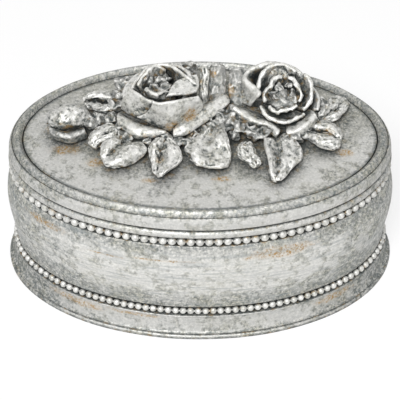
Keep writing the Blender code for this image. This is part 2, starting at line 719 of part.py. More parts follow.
def add_upright(spec, collection, body):
    """Add one tall petal that stands between the roses and leans back."""
    name, x_share, start_share, height_share, width_share, lean_share = spec
    centre = MOUND_CENTRE_X + UPRIGHT_SPACING * x_share
    width = UPRIGHT_WIDTH * width_share
    rest = MOUND_TOP + PIECE_GAP + PETAL_THICKNESS / 2

    def place(across, along):
        side = 2 * across - 1
        taper = (UPRIGHT_END_WIDTH_SHARE
                 + (1 - UPRIGHT_END_WIDTH_SHARE) * math.sin(math.pi * along))
        back = UPRIGHT_LEAN * lean_share * along + UPRIGHT_BULGE * width_share * side * side
        return Vector((centre + side * width / 2 * taper,
                       UPRIGHT_START_Y * start_share + back,
                       rest + UPRIGHT_HEIGHT * height_share * along ** UPRIGHT_RISE_SHARE))

    item = add_object(name, sheet(name, UPRIGHT_SEGMENTS, place), collection,
                      PETAL_FINISH, body)
    thicken(item, PETAL_THICKNESS, 0.0)


def add_bud(collection, body):
    """Add the closed bud at the left end, with its stem and two sepals."""
    radius = BUD_DIAMETER / 2
    turn = Matrix.Rotation(math.radians(BUD_TURN_DEG), 4, "Z")
    base = Matrix.Translation((BUD_X, BUD_Y, FIELD + PIECE_GAP + radius))
    bm = bmesh.new()
    bmesh.ops.create_uvsphere(bm, u_segments=BUD_SEGMENTS,
                              v_segments=BUD_RINGS_SEGMENTS, radius=radius)
    for vert in bm.verts:
        taper = 1 - BUD_TAPER_SHARE * max(0.0, vert.co.z / radius) ** 2
        vert.co = Vector((vert.co.z * BUD_LENGTH / BUD_DIAMETER,
                          vert.co.x * taper, vert.co.y * taper))
    item = add_object("rose_bud", mesh_from(bm, "rose_bud"), collection, PETAL_FINISH, body)
    item.matrix_basis = base @ turn
    for name, side in (("bud_sepal_front", -1.0), ("bud_sepal_back", 1.0)):
        add_sepal(name, side, collection, body)
    add_stem(collection, body)


def add_sepal(name, side, collection, body):
    """Add one narrow leaf that hugs the lower side of the bud."""
    reach = BUD_DIAMETER / 2 + PIECE_GAP
    rest = FIELD + PIECE_GAP

    def place(across, along):
        turn = math.radians(SEPAL_BEND_DEG) * (along - 1 / 2)
        swell = math.sin(math.pi * along) if 0 < along < 1 else 0.0
        width = SEPAL_WIDTH * max(SEPAL_TIP_SHARE, swell ** SEPAL_FULLNESS_SHARE)
        outward = SEPAL_INNER_SHARE + (1 - SEPAL_INNER_SHARE) * across
        bow = side * (reach + width * outward) * math.cos(turn)
        return Vector((BUD_X + BUD_LENGTH * SEPAL_REACH_SHARE * math.sin(turn), BUD_Y + bow,
                       rest + LEAF_ARCH * (1 - across) * swell))

    item = add_object(name, sheet(name, SEPAL_SEGMENTS, place), collection,
                      PETAL_FINISH, body)
    thicken(item, LEAF_THICKNESS, -side)


def add_stem(collection, body):
    """Add the short stem from the bud to the leaves."""
    curve = bpy.data.curves.new("bud_stem", "CURVE")
    curve.dimensions = "3D"
    curve.bevel_depth = STEM_DIAMETER / 2
    curve.bevel_resolution = 2
    curve.use_fill_caps = True
    spline = curve.splines.new("POLY")
    turn = math.radians(BUD_TURN_DEG)
    tip = BUD_LENGTH / 2 + STEM_DIAMETER / 2
    start = Vector((BUD_X + tip * math.cos(turn), BUD_Y + tip * math.sin(turn),
                    FIELD + PIECE_GAP + BUD_DIAMETER / 2))
    end = Vector((start.x + STEM_LENGTH, start.y + STEM_RISE,
                  FIELD + PIECE_GAP + STEM_DIAMETER / 2))
    spline.points.add(STEM_SEGMENTS)
    for index in range(STEM_SEGMENTS + 1):
        share = index / STEM_SEGMENTS
        point = start.lerp(end, share)
        point.z = end.z + (start.z - end.z) * (1 - share) ** 2
        spline.points[index].co = (*point, 1.0)
    add_object("bud_stem", curve, collection, PETAL_FINISH, body)


def add_moulding(name, profile, closed, finish, collection, body):
    """Add one oval ring, plate or bowl."""
    return add_object(name, oval_moulding(name, profile, closed), collection, finish, body)


def add_base(collection, body):
    """Add everything that stays on the table."""
    rings = (
        ("foot_ring", foot_ring_profile(), True),
        ("base_shell", base_shell_profile(), False),
        ("base_rim", rim_profile(), True),
    )
    for name, profile, closed in rings:
        add_moulding(name, profile, closed, MOULDING_FINISH, collection, body)
    add_moulding("foot_felt", plate_profile(SHELL_FOOT_INSET, FELT_CLEARANCE,
                                            FELT_CLEARANCE + FELT_THICKNESS),
                 False, FELT_FINISH, collection, body)
    lining_bottom = FLOOR_BOTTOM + FLOOR_THICKNESS + PIECE_GAP
    add_moulding("floor_lining", plate_profile(SHELL_FOOT_INSET + WALL_THICKNESS + PIECE_GAP,
                                               lining_bottom, lining_bottom + FELT_THICKNESS),
                 False, FELT_FINISH, collection, body)
    rows = (
        ("lower_bead_row", LOWER_BEAD_INSET, LOWER_BEAD_Z, LOWER_BEAD_DIAMETER, LOWER_BEAD_COUNT),
        ("upper_bead_row", UPPER_BEAD_INSET, UPPER_BEAD_Z, UPPER_BEAD_DIAMETER, UPPER_BEAD_COUNT),
    )
    for name, inset, height, diameter, count in rows:
        add_object(name, bead_row(name, inset, height, diameter, count), collection,
                   MOULDING_FINISH, body)


def add_lid(collection, body):
    """Add everything that lifts off."""
    rings = (
        ("lid_rim", lid_rim_profile(), True),
        ("lid_panel", plate_profile(PANEL_INSET, PANEL_BOTTOM, FIELD), False),
        ("lid_locating_ring", locating_ring_profile(), True),
    )
    for name, profile, closed in rings:
        add_moulding(name, profile, closed, MOULDING_FINISH, collection, body)
    lining_top = PANEL_BOTTOM - PIECE_GAP
    add_moulding("lid_lining", plate_profile(LID_OPENING_INSET + PIECE_GAP,
                                             lining_top - FELT_THICKNESS, lining_top),
                 False, FELT_FINISH, collection, body)
    add_sprig(collection, body)


def add_sprig(collection, body):
    """Add the flowers and leaves, under an empty that stretches their plan to the field."""
    sprig = bpy.data.objects.new("sprig", None)
    sprig.scale = (SPRIG_LEFT_SPACE / SPRIG_LEFT_REACH,
                   SPRIG_FRONT_SPACE / SPRIG_FRONT_REACH, 1.0)
    sprig.parent = body
    collection.objects.link(sprig)
    add_mound(collection, sprig)
    add_left_rose(collection, sprig)
    add_right_rose(collection, sprig)
    for spec in LEAF_SHARES:
        add_leaf(spec, collection, sprig)
    for spec in UPRIGHT_SHARES:
        add_upright(spec, collection, sprig)
    add_bud(collection, sprig)


def main():
    clear_scene()
    collection = make_collection()
    base = bpy.data.objects.new("base", None)
    lid = bpy.data.objects.new("lid", None)
    for body in (base, lid):
        collection.objects.link(body)
    add_base(collection, base)
    add_lid(collection, lid)


main()
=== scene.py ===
"""Oval keepsake box with a sprig of roses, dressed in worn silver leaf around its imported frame."""

import math

import bmesh
import bpy
from mathutils import Matrix, Vector, noise


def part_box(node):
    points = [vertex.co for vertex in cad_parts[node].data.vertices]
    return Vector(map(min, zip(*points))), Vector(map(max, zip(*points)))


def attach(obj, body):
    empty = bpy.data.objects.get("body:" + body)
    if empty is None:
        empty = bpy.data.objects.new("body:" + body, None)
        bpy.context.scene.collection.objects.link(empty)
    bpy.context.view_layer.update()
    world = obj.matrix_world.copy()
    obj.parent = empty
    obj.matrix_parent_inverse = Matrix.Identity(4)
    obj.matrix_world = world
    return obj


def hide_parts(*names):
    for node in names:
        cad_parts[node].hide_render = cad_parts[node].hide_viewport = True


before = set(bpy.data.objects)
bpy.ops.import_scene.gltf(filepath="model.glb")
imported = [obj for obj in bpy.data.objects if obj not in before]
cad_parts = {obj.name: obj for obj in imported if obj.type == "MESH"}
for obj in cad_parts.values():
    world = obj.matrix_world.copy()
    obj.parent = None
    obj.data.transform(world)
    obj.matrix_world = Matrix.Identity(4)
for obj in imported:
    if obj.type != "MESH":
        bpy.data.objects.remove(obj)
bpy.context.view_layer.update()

bl_info = {
    "name": "Silver-Leafed Keepsake Box",
    "version": (1, 0, 0),
    "blender": (4, 5, 0),
    "location": "View3D > Sidebar > Keepsake Box",
    "description": "Builds the visible shapes and finishes of an oval box with a sprig of roses",
    "category": "Add Mesh",
}

NOISE_SEED = 7

# Camera of the photograph, floor and lamps: place and size
CAMERA_PLACE = (0.0, -0.427762, 0.445026)
CAMERA_PITCH_DEG = 45.4054
CAMERA_LENS = 161.986
CAMERA_SENSOR = 36.0
FLOOR_HALF = 1.5
KEY_LAMP = ((-0.14, -0.68, 0.86), 0.42)
FILL_LAMP = ((0.35, 0.55, 0.95), 0.5)
LAMP_TARGET = (0.0, 0.0, 0.04)

# Camera fitted for the readings, which faces the origin: degrees, millimetres and pixels
READING_TILT_DEG = 46.10963
READING_DISTANCE = 619.9
READING_FOCAL = 1806.37
READING_CENTRE = (200.021, 247.922)

# Heights and outlines taken from the frame
FOOT_HALF = (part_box("foot_ring")[1].x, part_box("foot_ring")[1].y)
FOOT_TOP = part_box("foot_ring")[1].z
WALL_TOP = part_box("base_shell")[1].z
RIM_BOTTOM, RIM_TOP = (corner.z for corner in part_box("base_rim"))
LID_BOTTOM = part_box("lid_rim")[0].z
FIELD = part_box("lid_panel")[1].z
PANEL_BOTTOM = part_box("lid_panel")[0].z
BAND_HEIGHT = 0.0050
SHOULDER = LID_BOTTOM + BAND_HEIGHT
MOUND_BOTTOM, MOUND_TOP = (corner.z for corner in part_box("sprig_mound"))
LEAF_REST = MOUND_BOTTOM
SEAT_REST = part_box("left_rose_seat")[0].z

# Base: insets from the foot's edge, and heights
FOOT_WIDTH = 0.0050
FOOT_LIP = 0.0023
FOOT_FLARE = 0.0062
FOOT_STEP = 0.0008
FOOT_DRAW = 0.0024
FOOT_LEDGE_INSET = 0.0020
FOOT_EDGE = ((0.0002, 0.0), (0.0001, 0.0006), (0.0001, 0.0013), (0.0004, 0.0016), (0.0012, 0.0018),
             (0.0006, FOOT_LIP))
FOOT_GROOVE = (0.0006, 0.0001)
FOOT_LEDGE_RISE = 0.0002
SHELL_INSET = 0.0053
SHELL_BOTTOM = 0.0012
SHELL_GAP = 0.0003
INSIDE_FLOOR = 0.0036
FLOOR_INSET = 0.03
INSIDE_SHARES = (0.85, 0.7, 0.5, 0.3)
LOWER_CHANNEL = 0.00465
UPPER_CHANNEL = 0.0057
BELLY_BOTTOM = 0.0122
BELLY_HEIGHT = 0.0281
BELLY_INSET = 0.0033
BELLY_BULGE = 0.0019
WALL = 0.0028
MOUTH_INSET = 0.0079
RIM_INSET = 0.0028
RIM_ROUND = 0.0014
EDGE_SOFTNESS = 0.0003
BELLY_ROWS = 40

# Beads: inset, height, diameter, count
LOWER_BEADS = (0.0032, 0.01075, 0.0023, 131)
UPPER_BEADS = (0.0040, 0.0420, 0.0028, 108)
BEAD_WIRE_SHARE = 0.30

# Lid
BAND_INSET = 0.0031
BAND_EDGE = ((0.0014, 0.0), (0.0003, 0.0006))
BAND_LEAN = 0.0010
RIDGE_INSET = 0.0045
RIDGE_WIDTH = 0.0032
RIDGE_HEIGHT = 0.0016
RIDGE_GROOVE = (0.0001, 0.0005)
SEAT_INSET = 0.0077
PANEL_INSET = 0.0080
PANEL_RINGS = [0.0085 + 0.0025 * step for step in range(13)]
OPENING_INSET = 0.0097
LEDGE_HEIGHT = 0.0024
LOCATING_INSET = 0.0083
LOCATING_WIDTH = 0.0020
LOCATING_DEPTH = 0.0036
LOCATING_CHAMFER = 0.0006

# Felt
FELT_THICKNESS = 0.0008
FOOT_FELT = (0.0053, 0.0001)
FLOOR_FELT = (0.0084, 0.0039)
LID_FELT = (0.0100, 0.0485)

# Modelled surface: spans of the lumps, creases and grain, and the shares of a lump of foliage
LUMP_SPAN = 0.0042
CRUMPLE_SPAN = 0.0030
CREASE_SPAN = 0.0014
GRAIN_SPAN = 0.0009
FACE_OFFSET = 0.003
CLUMP_SHARES = (1.25, 1.1, 0.85)
CLUMP_LUMPS = 3.6
CLUMP_WANDER = (0.0009, 0.0020)
CLUMP_GAP = 0.0002

# Mound and rose seats
MOUND_CENTRE = (0.0075, 0.0080)
MOUND_HALF = (0.0275, 0.0095)
MOUND_DRAW = 0.0012
MOUND_UNDER = 0.0090
MOUND_SLOPE = 0.0003
MOUND_RING_STEP = 0.0010
MOUND_SOFTNESS = 0.0004
SEAT_UNDER = 0.0014
SEAT_SLOPE = 0.0003
SEAT_SOFTNESS = 0.0003
MOUND_WANDER = (0.00080, 0.0026)
MOUND_SEGMENTS = 220
SEAT_WANDER = (0.0001, 0.002)
SEAT_SEGMENTS = 72
ROSE_SEATS = (
    ("left_rose_seat", (-0.0128, 0.0090), 0.0062, 0.0010, 0.0038, 0.0024),
    ("right_rose_seat", (0.0268, 0.0080), 0.0072, 0.0008, 0.0036, 0.0006),
)

# Roses: radius, depth, root radius of the outer row and of the cup, height of the first root
LEFT_ROSE = (0.0095, 0.0105, 0.0052, 0.0019, 0.0008)
RIGHT_ROSE = (0.0090, 0.0052, 0.0072, 0.0018, 0.0008)
LEFT_STEP = Matrix.Translation((-0.0128, 0.0090, 0.0554))
LEFT_BOSS = Matrix.Translation((-0.0128, 0.0090, 0.0578))
RIGHT_STEP = Matrix.Translation((0.0268, 0.0080, 0.0552))
RIGHT_BOSS = Matrix.Translation((0.0268, 0.0100, 0.0592)) @ Matrix.Rotation(math.radians(30), 4, "X")
PETAL_ROW_STEP = 0.0015
PETAL_SIDE_GAP = 0.0005

# Lumps of the hearts: angle, distance, size and height as shares of radius and depth
LEFT_HEART = (
    (180, 0.05, 0.46, 0.34), (150, 0.22, 0.20, 0.58), (240, 0.30, 0.14, 0.60),
    (20, 0.20, 0.17, 0.70), (95, 0.36, 0.17, 0.72), (200, 0.44, 0.13, 0.56),
    (130, 0.46, 0.14, 0.64), (60, 0.44, 0.14, 0.76), (330, 0.34, 0.12, 0.66),
)
RIGHT_HEART = (
    (90, 0.02, 0.50, 0.10), (90, 0.10, 0.16, 0.70), (205, 0.22, 0.14, 0.66), (300, 0.24, 0.12, 0.62),
    (20, 0.28, 0.14, 0.70), (120, 0.30, 0.14, 0.78), (255, 0.36, 0.11, 0.50), (340, 0.40, 0.11, 0.60),
    (65, 0.44, 0.12, 0.78), (165, 0.42, 0.11, 0.66),
)

# Petal rows: name, start and end angle, lip radius and lip height at start, middle and end.
# A name alone is a petal that SHAPED_PETALS lays out.
LEFT_CUP = (
    ("front",),
    ("right", 330, 446, (1.00, 1.00, 0.96), (0.96, 0.95, 0.96)),
    ("back",),
)
LEFT_INNER = (
    ("front", 200, 308, (0.58, 0.62, 0.64), (1.00, 1.08, 1.05)),
    ("right",),
    ("back", 72, 192, (0.58, 0.62, 0.64), (1.08, 1.12, 1.05)),
)
LEFT_OUTER = (
    ("front_left",),
    ("front_right",),
    ("back_right", 60, 100, (1.22, 1.24, 1.24), (0.62, 0.70, 0.72)),
    ("back_left", 106, 182, (1.24, 1.27, 1.30), (0.72, 0.66, 0.46)),
)
RIGHT_CUP = (
    ("front", 200, 322, (0.94, 0.98, 1.06), (0.92, 0.88, 1.02)),
    ("right", 318, 412, (0.96, 1.00, 1.02), (0.96, 1.06, 1.02)),
    ("left", 58, 190, (1.06, 1.04, 0.98), (1.10, 1.14, 1.00)),
)
RIGHT_INNER = (
    ("front", 214, 320, (0.58, 0.62, 0.64), (1.05, 1.00, 1.10)),
    ("right", 328, 436, (0.58, 0.62, 0.64), (1.05, 1.15, 1.15)),
    ("left", 84, 206, (0.58, 0.62, 0.64), (1.15, 1.15, 1.05)),
)
RIGHT_OUTER = (
    ("front_left",),
    ("front_right",),
    ("right", 338, 400, (1.28, 1.25, 1.22), (0.90, 1.10, 1.30)),
    ("back", 50, 112, (1.30, 1.34, 1.36), (1.70, 2.00, 2.10)),
    ("back_left",),
)

# Leaves of the back: name, angle round the mound, heading, then length, width, arch and fold shares
LEAF_LENGTH = 0.0225
LEAF_WIDTH = 0.0125
LEAF_ARCH = 0.0022
LEAF_FOLD = 0.0012
LEAF_STALK = 0.0022
LEAF_START = 0.0014
SHAPED_LEAF_CELLS = (48, 52)
SHAPED_LEAF_THICKNESS = 0.0014
SHAPED_LEAF_GAP = 0.0008
SHAPED_LEAF_LUMPS = 1.9
LEAVES = (
    ("leaf_back_right", 48, 42, 0.55, 0.66, 0.90, 0.8),
    ("leaf_back_centre", 76, 88, 0.50, 0.66, 0.90, 0.8),
    ("leaf_back_left", 116, 108, 0.52, 0.66, 0.90, 0.8),
    ("leaf_left_back", 140, 139, 0.60, 0.62, 0.90, 0.8),
)

# Upright petals: name, place in spacings, then start, height, width and lean shares
UPRIGHT_SPACING = 0.0050
UPRIGHT_HEIGHT = 0.0146
UPRIGHT_WIDTH = 0.0058
UPRIGHT_LEAN = 0.0105
UPRIGHT_BULGE = 0.0016
UPRIGHT_START = 0.0055
UPRIGHTS = (
    ("upright_petal_left", -2.200, 2.55, 0.90, 0.86, 0.42),
    ("upright_petal_rib", -1.230, 0.90, 0.98, 0.44, 1.12),
    ("upright_petal_centre", -0.400, 1.10, 0.96, 0.92, 1.02),
    ("upright_petal_right", 0.900, 1.10, 0.90, 0.98, 0.92),
)

# Bud
BUD_CENTRE = Vector((-0.0422, 0.0035, 0.0569))
BUD_LENGTH = 0.0140
BUD_DIAMETER = 0.0092
BUD_TURN_DEG = 8.0
SEPAL_THICKNESS = 0.0010
SEPAL_WIDTH = 0.0042
SEPAL_BEND_DEG = 124.0
SEPAL_REACH = 0.0049
STEM_DIAMETER = 0.0028
STEM_RUN = (0.0058, 0.0038)


def picked(across, down, height):
    """Return the place in millimetres that a pixel of the photograph shows at a height."""
    tilt = math.radians(READING_TILT_DEG)
    side = (across - READING_CENTRE[0]) / READING_FOCAL
    drop = (down - READING_CENTRE[1]) / READING_FOCAL
    reach = READING_DISTANCE * math.sin(tilt) - height
    reach /= math.sin(tilt) + math.cos(tilt) * drop
    forward = (math.cos(tilt) - math.sin(tilt) * drop) * reach
    return (round(side * reach, 1), round(forward - READING_DISTANCE * math.cos(tilt), 1), height)


def read_off(*rows):
    """Return rows of places for rows of readings: pixel across, pixel down and height."""
    return [[picked(*reading) for reading in row] for row in rows]


def rooted(roots, *rows):
    """Return rows that each start at a root in millimetres and go on through readings."""
    return [[root, *row] for root, row in zip(roots, read_off(*rows))]


def crest_row(inner, middle, lip, fall, foot):
    """Return a row that climbs to a lip and ends outside it, by two steps from the lip."""
    return [inner, middle, lip, *([round(start + step, 1) for start, step in zip(lip, steps)]
                                  for steps in (fall, foot))]


# Modelled sheets: each row of readings goes from the root of the sheet to its lip
LEFT_SIDE = read_off(
    ((121, 108, 58.5), (122, 101, 61.5), (125, 93, 64.5), (130, 86, 67.0)),
    ((129, 114, 58.0), (130, 107, 61.0), (133, 98, 64.5), (137, 92, 67.0)),
    ((138, 117, 57.8), (140, 110, 60.8), (143, 103, 64.0), (146, 98.5, 66.8)),
    ((148, 121, 56.5), (150, 113, 59.8), (152, 106, 63.2), (154, 101, 66.3)),
)
LEFT_FRONT = read_off(
    ((137, 116, 59.0), (146, 112.5, 61.0), (150.5, 107, 64.0), (153, 100.5, 67.3)),
    ((150, 123, 57.2), (153, 116, 60.3), (156, 109, 64.0), (160, 102, 67.3)),
    ((162, 128, 56.4), (163, 120, 59.8), (165, 110.5, 64.0), (168, 101, 67.3)),
    ((171, 131, 56.0), (173, 122, 59.3), (176, 111, 63.6), (178, 98.5, 67.3)),
    ((186, 123, 57.3), (189, 114, 60.5), (191, 105, 64.0), (190, 96.5, 67.0)),
    ((202, 110, 60.0), (203, 105, 62.0), (202, 100, 64.5), (199, 94.5, 66.5)),
)
LEFT_RIM = read_off(
    ((150, 91, 60.0), (141, 92, 63.0), (131, 88, 67.0)),
    ((152, 87, 60.0), (143, 85, 63.5), (135, 80, 68.0)),
    ((156, 84, 60.0), (150, 76, 64.0), (146, 68, 69.0)),
    ((161, 82, 60.0), (160, 72, 64.5), (160, 63, 69.3)),
    ((166, 83, 60.0), (170, 73, 64.5), (172, 65, 69.3)),
    ((170, 86, 60.0), (177, 79, 64.5), (183, 72, 68.8)),
    ((172, 90, 60.0), (186, 87, 64.0), (197, 84, 67.5)),
)
LEFT_FOLDED = read_off(
    ((166, 97, 66.4), (176, 95, 66.8), (186, 94, 66.6), (197, 92, 66.0)),
    ((169, 90, 67.0), (178, 88, 67.2), (188, 87, 66.8), (199, 86, 66.0)),
    ((172.5, 84, 67.6), (182, 81, 67.4), (190, 80, 67.0), (199, 80, 66.2)),
    ((181, 79, 68.2), (187, 77, 67.8), (192, 75, 67.4), (196, 74, 67.0)),
)
LEFT_CRESCENT = rooted(
    ((-17.0, 4.5, 55.9), (-15.0, 3.8, 55.9), (-12.8, 3.6, 55.9), (-10.0, 4.0, 55.9)),
    ((122, 112, 56.0), (117, 115, 58.4), (117.5, 120, 57.8), (121, 127, 55.8)),
    ((136, 120, 55.8), (130, 122, 58.4), (129, 130, 57.4), (131, 135.5, 55.4)),
    ((150, 126, 55.6), (147, 128, 57.8), (145, 134.5, 56.8), (145, 138.5, 55.2)),
    ((166, 130, 55.6), (167, 131.5, 57.0), (167, 133, 56.4), (168, 134.5, 55.3)),
)
RIGHT_CRESCENT = rooted(
    ((-9.0, 4.0, 55.9), (-6.0, 5.5, 56.0), (-2.0, 8.0, 56.5), (2.0, 11.0, 57.5), (5.0, 13.0, 58.5)),
    ((177, 127, 55.8), (174, 130.5, 57.3), (173.5, 134.5, 56.8), (174, 138.5, 55.4)),
    ((186, 118, 56.4), (182, 121.5, 58.5), (185, 129, 57.8), (187, 134.5, 56.2)),
    ((199, 110, 57.2), (195, 112.5, 59.4), (197, 119.5, 58.8), (200, 126, 57.2)),
    ((211, 101, 58.5), (208, 105, 60.3), (209, 111, 59.7), (212, 118, 58.0)),
    ((221, 94, 59.5), (222, 96, 61.0), (225, 101, 60.6), (227, 106, 59.5)),
)
RIGHT_CRESCENT.append(((7.2, 12.4, 59.2), (8.0, 11.6, 59.8), (8.7, 10.4, 60.2), (9.2, 9.4, 60.0),
                       (9.5, 8.8, 59.5)))
RIGHT_CORNER = read_off(
    ((263, 90, 61.5), (258, 91, 62.5), (261, 94, 65.0), (256, 99, 62.5), (252, 106, 59.0)),
    ((262, 84, 61.0), (254, 83, 62.0), (246, 79, 66.0), (240, 86, 62.0), (234, 98, 58.5)),
    ((263, 77, 62.0), (256, 75, 63.0), (252, 69, 67.3), (245, 74, 63.5), (236, 84, 58.0)),
)
RIGHT_CORNER.append(crest_row((21.6, 14.6, 62.5), (20.6, 16.0, 65.0), picked(262, 64.5, 68.6),
                              (-1.0, 2.6, -2.6), (-2.0, 5.5, -8.0)))
RIGHT_CORNER.append(crest_row(picked(270, 83, 63.0), picked(271, 74, 65.8), picked(271.5, 62.8, 68.3),
                              (-0.5, 2.6, -2.6), (-1.0, 5.5, -8.0)))
RIGHT_CORNER.append(crest_row(picked(282, 85, 62.0), picked(282, 76, 64.6), picked(281, 64.5, 67.4),
                              (0.6, 2.6, -2.8), (1.2, 5.0, -7.5)))
RIGHT_CORNER.append(crest_row(picked(292, 88, 61.5), picked(291, 81, 63.2), picked(289, 70.5, 65.8),
                              (1.6, 2.2, -2.8), (2.6, 4.0, -6.5)))
RIGHT_LEFT_CRESCENT = rooted(
    ((20.0, 8.5, 56.0), (21.0, 6.5, 56.0), (22.5, 4.0, 56.0), (24.0, 3.0, 56.0), (25.5, 2.5, 56.0)),
    ((238, 103, 57.0), (233, 107, 60.0), (233, 110, 59.0), (235, 115, 57.2)),
    ((248, 109, 56.6), (245, 113.5, 59.0), (243, 118.5, 57.8), (243, 122.5, 56.0)),
    ((262, 115, 56.0), (258, 120, 58.0), (257, 123.5, 57.0), (257, 126.5, 55.4)),
    ((272, 122, 55.8), (269, 124, 57.4), (267, 127, 56.8), (266, 129.5, 55.6)),
    ((280, 130, 55.8), (279, 133, 57.0), (277, 135.5, 56.4), (277, 138, 55.2)),
)
RIGHT_RIGHT_CRESCENT = rooted(
    ((27.5, 2.5, 56.0), (30.0, 3.0, 56.5), (32.5, 4.5, 57.0), (34.0, 7.0, 57.5)),
    ((286, 128, 56.0), (286, 132, 57.4), (287, 134, 56.8), (289, 136, 55.4)),
    ((297, 124, 57.0), (298, 128, 58.6), (300, 131.5, 57.8), (302, 134.5, 56.0)),
    ((306, 117, 58.0), (308.5, 121.5, 59.5), (310.5, 124.5, 58.6), (313, 127.5, 56.8)),
    ((312, 110, 59.0), (315, 113, 60.4), (317, 116, 59.4), (319, 119, 57.6)),
)

